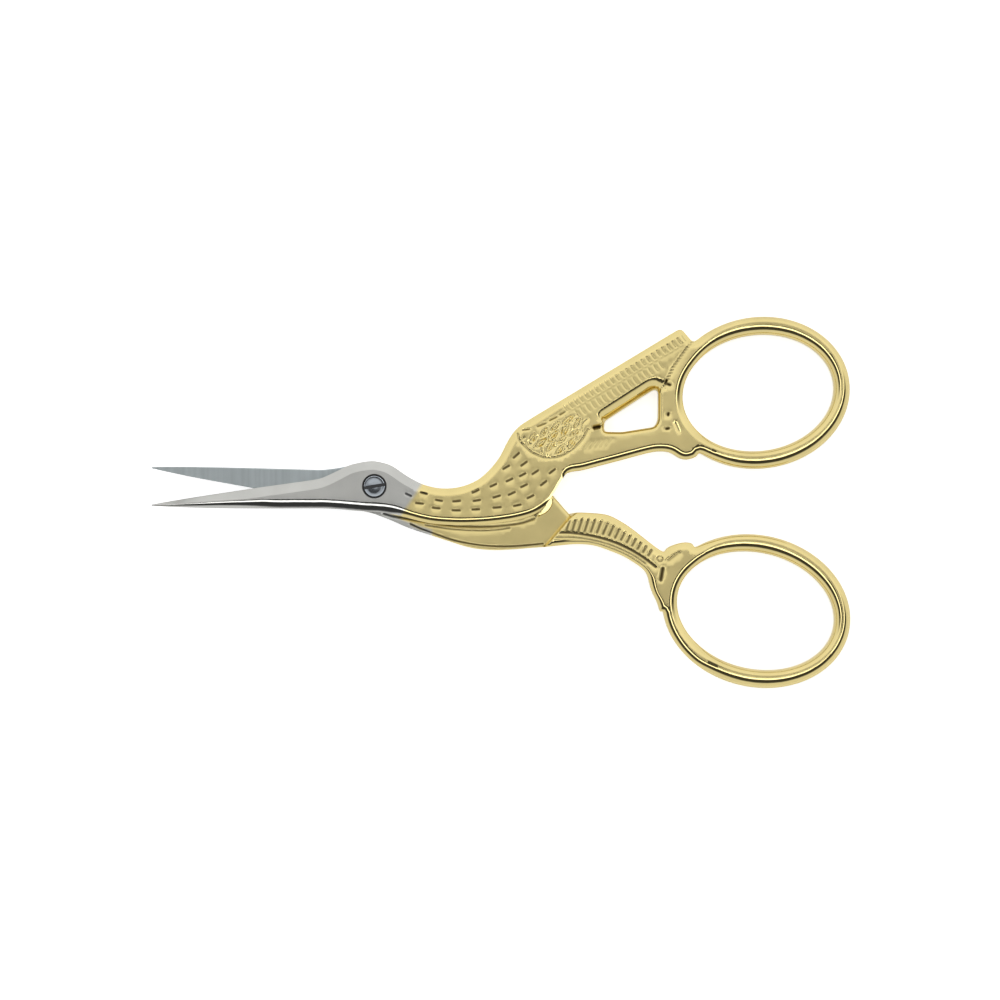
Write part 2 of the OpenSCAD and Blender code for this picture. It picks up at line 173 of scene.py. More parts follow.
class CarvingSettings(bpy.types.PropertyGroup):
    dash_length: bpy.props.FloatProperty(
        name="Dash length", description="Length of a feather dash on the neck and breast",
        default=0.8 * MM, unit="LENGTH", precision=5)
    dash_width: bpy.props.FloatProperty(
        name="Dash width", description="Width of a feather dash",
        default=0.47 * MM, unit="LENGTH", precision=5)
    dash_depth: bpy.props.FloatProperty(
        name="Dash depth", description="Depth of a feather dash",
        default=0.05 * MM, unit="LENGTH", precision=5)
    barb_pitch: bpy.props.FloatProperty(
        name="Barb pitch", description="Distance between two barbs of the wing feather",
        default=0.76 * MM, unit="LENGTH", precision=5)
    barb_depth: bpy.props.FloatProperty(
        name="Barb depth", description="Depth of the cuts between the barbs",
        default=0.05 * MM, unit="LENGTH", precision=5)
    rib_pitch: bpy.props.FloatProperty(
        name="Rib pitch", description="Distance between two cuts of the ribbed leg",
        default=0.79 * MM, unit="LENGTH", precision=5)
    rib_depth: bpy.props.FloatProperty(
        name="Rib depth", description="Depth of the cuts between the ribs",
        default=0.14 * MM, unit="LENGTH", precision=5)
    line_depth: bpy.props.FloatProperty(
        name="Line depth", description="Depth of the long engraved lines",
        default=0.14 * MM, unit="LENGTH", precision=5)


class FinishSettings(bpy.types.PropertyGroup):
    gilt: bpy.props.FloatVectorProperty(
        name="Gilt", description="Colour of the gold plating", subtype="COLOR", size=3,
        default=(0.83, 0.69, 0.31), min=0, max=1)
    steel: bpy.props.FloatVectorProperty(
        name="Steel", description="Colour of the bare ground steel", subtype="COLOR", size=3,
        default=(0.60, 0.60, 0.57), min=0, max=1)
    blued: bpy.props.FloatVectorProperty(
        name="Inner face", description="Colour of the ground inner face", subtype="COLOR", size=3,
        default=(0.49, 0.54, 0.55), min=0, max=1)
    screw: bpy.props.FloatVectorProperty(
        name="Screw", description="Colour of the turned screw", subtype="COLOR", size=3,
        default=(0.46, 0.50, 0.54), min=0, max=1)
    # Grime and painted shade: the dirt in the marks in the steel, also painted as shade into the gap round
    # the screw, the screw's slot and sides, and the lap's shadow lines on the steel
    grime_and_shade: bpy.props.FloatVectorProperty(
        name="Grime and shade", description="Colour of the gap round the screw and of the marks in the steel",
        subtype="COLOR", size=3, default=(0.05, 0.05, 0.05), min=0, max=1)
    # Tarnish and painted shade: the colour in the bottom of the carved gilt marks, also painted as shadow
    # along the front half's breast and as a dark reflection along the rear lap's edge
    tarnish_and_shade: bpy.props.FloatVectorProperty(
        name="Tarnish", description="Colour at the bottom of the carved marks", subtype="COLOR", size=3,
        default=(0.10, 0.075, 0.03), min=0, max=1)


class StageSettings(bpy.types.PropertyGroup):
    floor_colour: bpy.props.FloatVectorProperty(
        name="Floor", description="Colour of the pale floor", subtype="COLOR", size=3,
        default=(0.80, 0.80, 0.80), min=0, max=1)
    view_width: bpy.props.FloatProperty(
        name="View width", description="Width of the floor that the camera frames",
        default=PHOTO_SIZE * PIXEL, unit="LENGTH", precision=4)
    camera_height: bpy.props.FloatProperty(
        name="Camera height", description="Distance of the camera above the scissors",
        default=0.45, unit="LENGTH", precision=3)


def mix(a, b, t):
    return a + (b - a) * t


def rise(a, b, x):
    """An S-shaped rise from 0 to 1 between two places."""
    t = np.clip((x - a) / (b - a), 0, 1)
    return t * t * (3 - 2 * t)


def span(x, start, end):
    """A share that rises from 0 to 1 over the first stretch and falls back over the last one."""
    return rise(*start, x) * (1 - rise(*end, x))


def direction(degrees):
    return np.array([math.cos(math.radians(degrees)), math.sin(math.radians(degrees))])


def millimetres(settings):
    """The lengths of a group of settings, in millimetres."""
    names = [name for name in settings.bl_rna.properties.keys() if name not in ("rna_type", "name")]
    return SimpleNamespace(**{name: 1000 * getattr(settings, name) for name in names})


def mesh_points(node):
    """The vertices of a CAD node, in millimetres."""
    return np.array([v.co for v in frame["nodes"][node].data.vertices]) * 1000


# Outlines, read from the frame

# Distances between the points of a loop while it is softened, and of a finished outline
FINE_STEP = 0.05
OUTLINE_STEP = 0.17
# How near a point lies to a line that it is on
ON_LINE = 0.004


def cut_loops(node, z):
    """The closed loops where a CAD node meets the level z, counter-clockwise, longest first."""
    bm = bmesh.new()
    bm.from_mesh(frame["nodes"][node].data)
    bmesh.ops.remove_doubles(bm, verts=bm.verts, dist=1e-7)
    cut = bmesh.ops.bisect_plane(
        bm, geom=bm.verts[:] + bm.edges[:] + bm.faces[:], dist=1e-9,
        plane_co=(0, 0, z * MM), plane_no=(0, 0, 1))["geom_cut"]
    links = {}
    for edge in cut:
        if isinstance(edge, bmesh.types.BMEdge):
            for a, b in (edge.verts, reversed(edge.verts)):
                links.setdefault(a, []).append(b)
    loops, left = [], dict.fromkeys(links)
    while left:
        at, loop = next(iter(left)), []
        while at is not None:
            left.pop(at)
            loop.append((1000 * at.co.x, 1000 * at.co.y))
            at = next((v for v in links[at] if v in left), None)
        loops.append(np.array(loop))
    bm.free()
    loops = [loop if area(loop) > 0 else loop[::-1] for loop in loops if len(loop) > 2]
    return sorted(loops, key=lambda loop: -length(loop))


def area(loop):
    ahead = np.roll(loop, -1, 0)
    return 0.5 * np.sum(loop[:, 0] * ahead[:, 1] - ahead[:, 0] * loop[:, 1])


def length(loop):
    return np.linalg.norm(np.roll(loop, -1, 0) - loop, axis=1).sum()


def even(loop, step):
    """A closed loop with points at even distances."""
    shut = np.vstack([loop, loop[:1]])
    run = np.concatenate([[0], np.cumsum(np.linalg.norm(np.diff(shut, axis=0), axis=1))])
    at = np.linspace(0, run[-1], max(8, round(run[-1] / step)), endpoint=False)
    return np.stack([np.interp(at, run, shut[:, i]) for i in (0, 1)], 1)


def softened(loop, sigma, corners=(), hold=0.8):
    """A loop with its small facets rounded off, but sharp at the given corners."""
    fine = even(loop, FINE_STEP)
    reach = int(3 * sigma / FINE_STEP)
    shares = np.exp(-0.5 * (np.arange(-reach, reach + 1) * FINE_STEP / sigma) ** 2)
    smooth = sum(w * np.roll(fine, k, 0) for k, w in zip(range(-reach, reach + 1), shares / shares.sum()))
    free = np.ones(len(fine))
    for corner in corners:
        free = np.minimum(free, rise(0, hold, np.linalg.norm(fine - corner, axis=1)))
    return mix(fine, smooth, free[:, None])


def touching(points, loop, within):
    """Which points lie on a loop's line."""
    a, b = loop, np.roll(loop, -1, 0)
    run = b - a
    t = np.clip(((points[:, None] - a) * run).sum(2) / (run ** 2).sum(1), 0, 1)
    return np.linalg.norm(points[:, None] - a - t[..., None] * run, axis=2).min(1) < within


def farthest_pair(points):
    gaps = np.linalg.norm(points[:, None] - points, axis=2)
    i, j = np.unravel_index(gaps.argmax(), gaps.shape)
    return points[i], points[j]


def open_side(loop, shared):
    """The part of a loop that isn't shared, with the two shared ends."""
    start = next(i for i in range(len(loop)) if shared[i - 1] and not shared[i])
    turned, marks = np.roll(loop, 1 - start, 0), np.roll(shared, 1 - start)
    keep = [0] + [i for i in range(1, len(loop)) if not marks[i]]
    return turned[keep + [(keep[-1] + 1) % len(loop)]]


def joined(steel, gold):
    """One outline round two loops that share a straight line, and the line's two ends."""
    a, b = farthest_pair(gold[touching(gold, steel, ON_LINE)])
    line = np.array([a, b])
    parts = [open_side(loop, touching(loop, line, ON_LINE)) for loop in (steel, gold)]
    return np.vstack([parts[0][:-1], parts[1][:-1]]), (a, b)


class Divide:
    """A straight line between two ends, with its direction, its length and the side that lies beyond it."""

    def __init__(self, ends, beyond):
        self.start, self.end = np.array(ends)
        run = self.end - self.start
        self.reach = np.linalg.norm(run)
        self.along = run / self.reach
        side = np.array([-self.along[1], self.along[0]])
        self.side = side if (np.array(beyond) - self.start) @ side > 0 else -side

    def past(self, points):
        """How far points lie beyond the line."""
        return (points - self.start) @ self.side


class Outline:
    """The edge of a half, inside to the left, with the distance to it and the nearest place on it."""

    def __init__(self, loops):
        self.loops = loops
        self.start = np.vstack(loops)
        starts = np.cumsum([0] + [len(loop) for loop in loops[:-1]])
        order = [np.arange(len(loop)) + first for loop, first in zip(loops, starts)]
        self.ahead = np.concatenate([np.roll(part, -1) for part in order])
        self.behind = np.concatenate([np.roll(part, 1) for part in order])
        self.run = self.start[self.ahead] - self.start
        size = np.linalg.norm(self.run, axis=1)
        self.side = np.stack([-self.run[:, 1], self.run[:, 0]], 1) / size[:, None]
        both = self.side + self.side[self.behind]
        self.inward = both / np.linalg.norm(both, axis=1)[:, None]
        self.tree = point_tree(self.start)

    def probe(self, points):
        """Distance to the edge, positive inside, the stretch that is nearest, and the share along it."""
        near = np.array([[hit[1] for hit in self.tree.find_n((x, y, 0), 4)] for x, y in points])
        choice = np.concatenate([near, self.behind[near]], 1)
        away = points[:, None] - self.start[choice]
        run = self.run[choice]
        t = np.clip((away * run).sum(2) / (run ** 2).sum(2), 0, 1)
        away = away - t[..., None] * run
        best = (away ** 2).sum(2).argmin(1)
        rows = np.arange(len(points))
        where, share, away = choice[rows, best], t[rows, best], away[rows, best]
        side = np.where((share <= 0)[:, None], self.inward[where], self.side[where])
        side = np.where((share >= 1)[:, None], self.inward[self.ahead[where]], side)
        return np.linalg.norm(away, axis=1) * np.where((away * side).sum(1) < 0, -1, 1), where, share

    def gap(self, points):
        """Distance to the edge alone."""
        return self.probe(points)[0]


def point_tree(points):
    """A search tree over flat points."""
    tree = KDTree(len(points))
    for i, (x, y) in enumerate(points):
        tree.insert((x, y, 0), i)
    tree.balance()
    return tree


def fall(d, rules):
    """How far a rim falls away, d inside the edge, by its width, height, flat share and gentle share."""
    width, height, flat, gentle = rules.T
    t = np.clip(1 - d / width, 0, 1)
    return height * mix(mix(1 - np.sqrt(1 - t * t), t * t, gentle), t, flat)


# Node trees, and the two of Geometry Nodes: rows of marks, and the carving of a face along them

def node_adder(tree):
    """A helper that adds a node to a tree, with its inputs linked or set."""
    def add(kind, inputs=None, **settings):
        made = tree.nodes.new(kind)
        for key, value in settings.items():
            setattr(made, key, value)
        for key, value in (inputs or {}).items():
            if isinstance(value, bpy.types.NodeSocket):
                tree.links.new(value, made.inputs[key])
            else:
                made.inputs[key].default_value = value
        return made
    return add


def node_group(name, kind, inputs, outputs):
    """A node group with named sockets, a helper that adds its nodes, and its own inputs and outputs."""
    group = bpy.data.node_groups.new(name, kind)
    for label, socket_kind, default in inputs:
        socket = group.interface.new_socket(label, in_out="INPUT", socket_type=socket_kind)
        if default is not None:
            socket.default_value = default
    for label, socket_kind in outputs:
        group.interface.new_socket(label, in_out="OUTPUT", socket_type=socket_kind)
    add = node_adder(group)
    return group, add, add("NodeGroupInput").outputs, add("NodeGroupOutput").inputs


def geometry_group(name, inputs):
    """A Geometry Nodes tree that takes and gives a geometry, with more named inputs."""
    made = node_group(name, "GeometryNodeTree", [("Geometry", "NodeSocketGeometry", None), *inputs],
                      [("Geometry", "NodeSocketGeometry")])
    made[0].is_modifier = True
    return made


def ready(name, build):
    """The node group of this name, built at its first use."""
    return bpy.data.node_groups.get(name) or build()


def finish_tree(tree, add, geometry, material, out):
    """Ends a tree in Realize Instances and Set Material."""
    real = add("GeometryNodeRealizeInstances", {"Geometry": geometry})
    done = add("GeometryNodeSetMaterial", {"Geometry": real.outputs[0], "Material": material})
    tree.links.new(done.outputs[0], out["Geometry"])
    return tree


def mark_rows_tree():
    """Bowed strokes on the points of a path, or at an even pitch along it, turned by its own attribute."""
    tree, add, given, out = geometry_group("Mark rows", [
        ("Pitch", "NodeSocketFloat", 0.0), ("Length", "NodeSocketFloat", MM),
        ("Bow", "NodeSocketFloat", 0.0), ("Material", "NodeSocketMaterial", None)])
    curve = add("GeometryNodeMeshToCurve", {"Mesh": given["Geometry"]})
    evened = add("GeometryNodeResampleCurve", {
        "Curve": curve.outputs[0], "Length": given["Pitch"]}, mode="LENGTH")
    pitched = add("FunctionNodeCompare", {
        0: given["Pitch"], 1: 0.01 * MM}, data_type="FLOAT", operation="GREATER_THAN")
    places = add("GeometryNodeSwitch", {
        "Switch": pitched.outputs[0], "False": given["Geometry"], "True": evened.outputs[0]},
        input_type="GEOMETRY")
    half = add("ShaderNodeMath", {0: given["Length"], 1: 0.5}, operation="MULTIPLY")
    back = add("ShaderNodeMath", {0: given["Length"], 1: -0.5}, operation="MULTIPLY")
    ends = [add("ShaderNodeCombineXYZ", {"X": x.outputs[0]}) for x in (back, half)]
    middle = add("ShaderNodeCombineXYZ", {"Y": given["Bow"]})
    stroke = add("GeometryNodeCurveQuadraticBezier", {
        "Resolution": 6, "Start": ends[0].outputs[0], "Middle": middle.outputs[0],
        "End": ends[1].outputs[0]})
    line = add("GeometryNodeCurveToMesh", {"Curve": stroke.outputs[0]})
    turn = add("GeometryNodeInputNamedAttribute", {"Name": "turn"}, data_type="FLOAT")
    size = add("GeometryNodeInputNamedAttribute", {"Name": "size"}, data_type="FLOAT")
    spin = add("ShaderNodeCombineXYZ", {"Z": turn.outputs[0]})
    marks = add("GeometryNodeInstanceOnPoints", {
        "Points": places.outputs[0], "Instance": line.outputs[0],
        "Rotation": spin.outputs[0], "Scale": size.outputs[0]})
    return finish_tree(tree, add, marks.outputs[0], given["Material"], out)


def carving_tree():
    """Sinks a face along the strokes of another object, and writes how deep each point lies in it."""
    tree, add, given, out = geometry_group("Carving", [
        ("Strokes", "NodeSocketObject", None), ("Width", "NodeSocketFloat", 0.3 * MM),
        ("Depth", "NodeSocketFloat", 0.1 * MM), ("Tarnish", "NodeSocketFloat", 1.0),
        ("Polish", "NodeSocketFloat", 0.0), ("Face", "NodeSocketString", "both"),
        ("Material", "NodeSocketMaterial", None)])
    strokes = add("GeometryNodeObjectInfo", {"Object": given["Strokes"]})
    place = add("GeometryNodeInputPosition")
    flat = add("ShaderNodeVectorMath", {0: place.outputs[0], 1: (1, 1, 0)}, operation="MULTIPLY")
    near = add("GeometryNodeProximity", {
        "Geometry": strokes.outputs["Geometry"], "Source Position": flat.outputs[0]}, target_element="EDGES")
    half = add("ShaderNodeMath", {0: given["Width"], 1: 0.5}, operation="MULTIPLY")
    cut = add("ShaderNodeMapRange", {
        "Value": near.outputs["Distance"], "From Min": 0.0, "From Max": half.outputs[0],
        "To Min": 1.0, "To Max": 0.0})
    side = add("GeometryNodeInputNamedAttribute", {"Name": given["Face"]}, data_type="FLOAT")
    sunk = add("ShaderNodeMath", {0: cut.outputs["Result"], 1: side.outputs[0]}, operation="MULTIPLY")
    deep = add("ShaderNodeMath", {0: sunk.outputs[0], 1: given["Depth"]}, operation="MULTIPLY")
    down = add("ShaderNodeMath", {0: deep.outputs[0], 1: -1.0}, operation="MULTIPLY")
    shift = add("ShaderNodeCombineXYZ", {"Z": down.outputs[0]})
    moved = add("GeometryNodeSetPosition", {"Geometry": given["Geometry"], "Offset": shift.outputs[0]})
    reached = add("ShaderNodeMath", {0: sunk.outputs[0]}, operation="ABSOLUTE")
    geometry = moved.outputs[0]
    # cut: how dark a point is painted, tarnish in a carved mark and painted shade in the lap's shadow lines;
    # polish: how smooth
    for label, strength in (("cut", given["Tarnish"]), ("polish", given["Polish"])):
        before = add("GeometryNodeInputNamedAttribute", {"Name": label}, data_type="FLOAT")
        shown = add("ShaderNodeMath", {0: reached.outputs[0], 1: strength}, operation="MULTIPLY")
        most = add("ShaderNodeMath", {0: before.outputs[0], 1: shown.outputs[0]}, operation="MAXIMUM")
        stored = add("GeometryNodeStoreNamedAttribute", {
            "Geometry": geometry, "Name": label, "Value": most.outputs[0]},
            data_type="FLOAT", domain="POINT")
        geometry = stored.outputs[0]
    return finish_tree(tree, add, geometry, given["Material"], out)


def set_inputs(obj, tree, values):
    """A Geometry Nodes modifier with its inputs set by the sockets' identifiers."""
    modifier = obj.modifiers.new(tree.name, "NODES")
    modifier.node_group = tree
    names = {s.name: s.identifier for s in tree.interface.items_tree if s.in_out == "INPUT"}
    for name, value in values.items():
        modifier[names[name]] = value


def plain_mesh(obj):
    """Makes the evaluated object a plain mesh and removes its modifiers."""
    bpy.context.view_layer.update()
    made = bpy.data.meshes.new_from_object(obj.evaluated_get(bpy.context.evaluated_depsgraph_get()))
    obj.modifiers.clear()
    obj.data = made
    made.name = obj.name
    return obj


def new_object(name, vertices, edges=(), faces=()):
    mesh = bpy.data.meshes.new(name)
    mesh.from_pydata(vertices, edges, faces)
    obj = bpy.data.objects.new(name, mesh)
    bpy.context.scene.collection.objects.link(obj)
    return obj


def write_attribute(obj, label, values):
    """Stores one value for each vertex under a name that a tree or a material reads."""
    obj.data.attributes.new(label, "FLOAT", "POINT").data.foreach_set("value", values)


def path(name, points, shut=False):
    """A thin path through points (x, y) or marks (x, y, turn, size), at the level of the table."""
    count = len(points)
    edges = [(i, i + 1) for i in range(count - 1)] + ([(count - 1, 0)] if shut else [])
    obj = new_object(name, [(p[0] * MM, p[1] * MM, 0) for p in points], edges)
    marks = [p if len(p) == 4 else (*p, 0, 1) for p in points]
    write_attribute(obj, "turn", [math.radians(m[2]) for m in marks])
    write_attribute(obj, "size", [m[3] for m in marks])
    return obj


def curved(points, step=0.3):
    """A smooth open line through a few points."""
    p = np.array([points[0], *points, points[-1]], float)
    line = []
    for a, b, c, d in zip(p, p[1:], p[2:], p[3:]):
        for t in np.arange(0, 1, step / max(step, np.linalg.norm(c - b))):
            line.append(0.5 * (2 * b + (c - a) * t + (2 * a - 5 * b + 4 * c - d) * t ** 2
                               + (3 * b - a - 3 * c + d) * t ** 3))
    return [tuple(x) for x in line] + [tuple(points[-1])]


class Marks:
    """Strokes that are carved alike, with their width and depth in millimetres, how dark (tarnish, or
    painted shade) and how bright.
    """

    def __init__(self, name, width, depth, tarnish_and_shade=1.0, polish=0.0, face="both"):
        self.name, self.width, self.depth, self.face = name, width, depth, face
        self.tarnish_and_shade, self.polish = tarnish_and_shade, polish
        self.parts = []

    def row(self, points, length, pitch=0.0, bow=0.0):
        """Adds a stroke at each mark, or strokes at an even pitch along the line through them."""
        obj = path(self.name, points)
        set_inputs(obj, ready("Mark rows", mark_rows_tree), {
            "Pitch": pitch * MM, "Length": length * MM, "Bow": bow * MM, "Material": gilt_material()})
        self.parts.append(plain_mesh(obj))
        return self

    def line(self, points, shut=False):
        """Adds one long stroke through the points."""
        self.parts.append(path(self.name, points, shut))
        return self

    def strokes(self):
        """The start and end of every short piece of stroke."""
        found = []
        for obj in self.parts:
            co = np.array([v.co[:2] for v in obj.data.vertices]) * 1000
            found += [(co[e.vertices[0]], co[e.vertices[1]]) for e in obj.data.edges]
        return found

    def as_object(self):
        """All the strokes as one object."""
        with bpy.context.temp_override(active_object=self.parts[0], selected_editable_objects=self.parts):
            if len(self.parts) > 1:
                bpy.ops.object.join()
        self.parts = self.parts[:1]
        return self.parts[0]


# Steps along a stroke, and the turns of the points round its ends
STROKE_STEPS = (0.12, 0.25)
END_TURNS = (-60, -30, 0, 30, 60)


def stroke_points(marks):
    """Mesh points on and beside the strokes, so that each cut has clean sides."""
    r = marks.width / 2
    along_step = np.clip(r, *STROKE_STEPS)
    points = []
    for a, b in marks.strokes():
        run = b - a
        size = np.linalg.norm(run)
        along = run / max(size, 1e-9)
        side = np.array([-along[1], along[0]])
        for t in np.linspace(0, 1, max(2, math.ceil(size / along_step) + 1)):
            for offset in (0, -0.5 * r, 0.5 * r, -r, r):
                points.append(a + t * run + offset * side)
        for end, sign in ((a, -1), (b, 1)):
            for angle in END_TURNS:
                ahead, aside = direction(angle)
                points.append(end + r * (sign * along * ahead + side * aside))
            points.append(end + 0.5 * r * sign * along)
    return np.array(points)


def thinned(points, apart, kept=()):
    """Drops the points that lie closer together than apart, or closer than that to the kept ones."""
    cell = {}

    def place(p):
        return int(p[0] // apart), int(p[1] // apart)

    def near(p):
        i, j = place(p)
        return any(
            (p[0] - q[0]) ** 2 + (p[1] - q[1]) ** 2 < apart * apart
            for x in (i - 1, i, i + 1) for y in (j - 1, j, j + 1) for q in cell.get((x, y), ()))

    for p in kept:
        cell.setdefault(place(p), []).append(p)
    result = []
    for p in points:
        if not near(p):
            cell.setdefault(place(p), []).append(p)
            result.append(p)
    return np.array(result).reshape(-1, 2)


# The height of an even triangle beside its side
TRIANGLE_HEIGHT = 0.866


def grid(low, high, step):
    """Staggered points over a rectangle."""
    rows = np.arange(low[1], high[1], step * TRIANGLE_HEIGHT)
    columns = np.arange(low[0], high[0], step)
    return np.array([(x + (i % 2) * step / 2, y) for i, y in enumerate(rows) for x in columns])


def ring(radius, count):
    return [radius * direction(360 * i / count) for i in range(count)]


# The two halves, in millimetres from the screw's axis. The rule of a rim is its width, its height, its flat
# share and the share that curves gently

# How far beside the lap plane the CAD halves are cut, and over what length their edges are softened
BESIDE_LAP = 0.075
EDGE_SOFTENING = 0.4
HOLE_SOFTENING = 0.3

# The blade: where its spine lies and ends, where its grinding ends, how the neck leans beyond, how long the
# tip is and over what length it blends in, where the full thickness and the blade's edges end, and the
# least width
SPINE_V = -0.35
SPINE_END = (-8, 0)
GRIND_END = (-9, -2)
NECK_LEAN = 0.35
TIP_LENGTH = 0.3
TIP_BLEND = (0, 3)
FULL_THICKNESS_FROM = 2
EDGES_END = 0.5
LEAST_BLADE_WIDTH = 0.1

# The ground bevel: its width and its flat shares on the head, its widest share of the blade, and how much of
# the front half's crown the rear half has
HEAD_BEVEL = 1.12
HEAD_BEVEL_FLAT = (0.95, 0.9)
WIDEST_BEVEL = 0.5
REAR_CROWN = 0.8

# The blade's back: its width beside the common rim's, its widest share of the blade, its slopes near the
# head and towards the tip and where they change, its deepest share of the thickness, and its flat share
BACK_RIM_WIDTH = 1.2
WIDEST_BACK_RIM = 0.46
BACK_RIM_SLOPES = (0.32, 0.45)
BACK_RIM_STEEPENS = (-12, -20)
DEEPEST_BACK_RIM = 0.7
BACK_RIM_FLAT = 0.2

# The plating line's soft change from the steel's rims to the gilt ones, and how gently those curve
PLATING_BLEND = (-1.5, 1.5)
GILT_GENTLE = 0.8

# The window in the wing: its plain rim, the long slope above it that leads up to the feather, and the X up
# to which an opening is this one
WINDOW_RIM = (0.55, 0.6, 0.1, 0.8)
WINDOW_SLOPE_RULE = (1.7, 0.35, 0.1)
WINDOW_FACING = (0.35, 0.8)
WINGS_END = 40

# The wing's upper edge and the ribbed leg's lower edge: where they are, which way into the metal they face,
# and their width and height. Then the narrow facet on the breast, with its place along X and along Y
WING_SPAN = ((21, 23), (39, 40.5))
WING_LOW = 7.5
WING_FACING = -0.5
WING_RIM = (0.95, 0.5)
LEG_SPAN = ((24, 26), (34.5, 38))
LEG_FACING = (0, 0.5)
LEG_RIM = (0.6, 0.4)
FACET_SPANS = ((18, 22.8), (24.6, 26)), ((-5, -1.4), (1, 2.2))
FACET_RIM = (0.36, 0.07, 0.78, 1.0)

# The finger rings: where they start, how far their crest leans, and the limits and place of their width
RING_START = (41, 46)
RING_LEAN = 0.19
RING_WIDTHS = (0.5, 2.6)
RING_INSET = 0.4

# The lap face: the width of its worn edge on the steel and on the gilt, where that changes and starts, its
# height beside its width, and the least thickness left between two rims
LAP_EDGES = (0.07, 0.5)
LAP_EDGE_BLEND = (-4, 1.5)
LAP_EDGE_START = (-6, -3)
LEAST_LAP_EDGE = 0.02
LAP_EDGE_HEIGHT = 0.75
LEAST_THICKNESS = 0.3

# Shading: the flat shares from which a rim counts as a bevel, where rims turn bright along the blade, how
# bright they are before and after, and where the lap's grinding ends
BEVEL_SHARES = (0.8, 0.88)
BRIGHT_RIM_FROM = (-27, -17)
RIM_BRIGHTNESS = (0.05, 1)
LAP_GRIND_END = (-4, -1)

# The polished hollow in the rear half's lap beside the breast: its ends, bow, slope and wall, how far it
# reaches back under its chord, and the depth at which it is fully polished
HOLLOW = Divide([(20.94, -3.78), (22.96, -1.49)], beyond=(23, -4))
HOLLOW_BOW = 0.6
HOLLOW_SLOPE = 0.2
HOLLOW_WALL = 0.1
HOLLOW_BEHIND = 0.25
HOLLOW_POLISHED = 0.02

# The screw's seat, and how far out and between which heights its floor is looked for in the CAD blade
BORE_POINTS = 64
COUNTERBORE_R = 1.53
COUNTERBORE_CHAMFER = 0.08
COUNTERBORE_WALL = 0.02
SEAT_REACH = 1.7
SEAT_LEVELS = (0.3, 1.2)

# The mesh: rows across a rim, the turns at which the step's slope has a row, and distances between points
RIM_ROWS = (0.05, 0.14, 0.26, 0.4, 0.55, 0.69, 0.81, 0.91, 1)
CLOSE_ROWS = 3
ROW_TOLERANCE = 0.004
STEP_TURNS = (30, 50, 70, 90)
STEP_INSIDE = 0.1
LINE_STEP = 0.18
LINE_OVERRUN = 0.2
LINE_CLEARANCE = 0.04
RIM_APART = 0.1
CARVED_APART = 0.07
CARVED_INSET = 0.12
CARVED_CLEARANCE = 0.08
FILL_STEP = 0.55
FILL_APART = 0.22
FILL_INSET = 0.3
SEAT_CLEARANCE = 0.15
BORE_CLEARANCE = 0.1


def hollow_bow(share):
    """How far the hollow's edge stands out from its chord."""
    return HOLLOW_BOW * (1 - (2 * share - 1) ** 2)


def hollow(points):
    """Depth and polish of the slanting hollow in the lap."""
    share = (points - HOLLOW.start) @ HOLLOW.along / HOLLOW.reach
    across = HOLLOW.past(points)
    wall = np.clip(1 - (across - hollow_bow(share)) / HOLLOW_WALL, 0, 1)
    depth = HOLLOW_SLOPE * np.maximum(across + HOLLOW_BEHIND, 0) * wall
    return depth, np.clip(depth / HOLLOW_POLISHED, 0, 1)


def hollow_lines():
    """The curved edge of the hollow, at its foot and at its top."""
    shares = np.linspace(0.02, 0.98, 26)[:, None]
    foot = mix(HOLLOW.start, HOLLOW.end, shares) + HOLLOW.side * hollow_bow(shares)
    return [foot, foot + HOLLOW.side * HOLLOW_WALL]


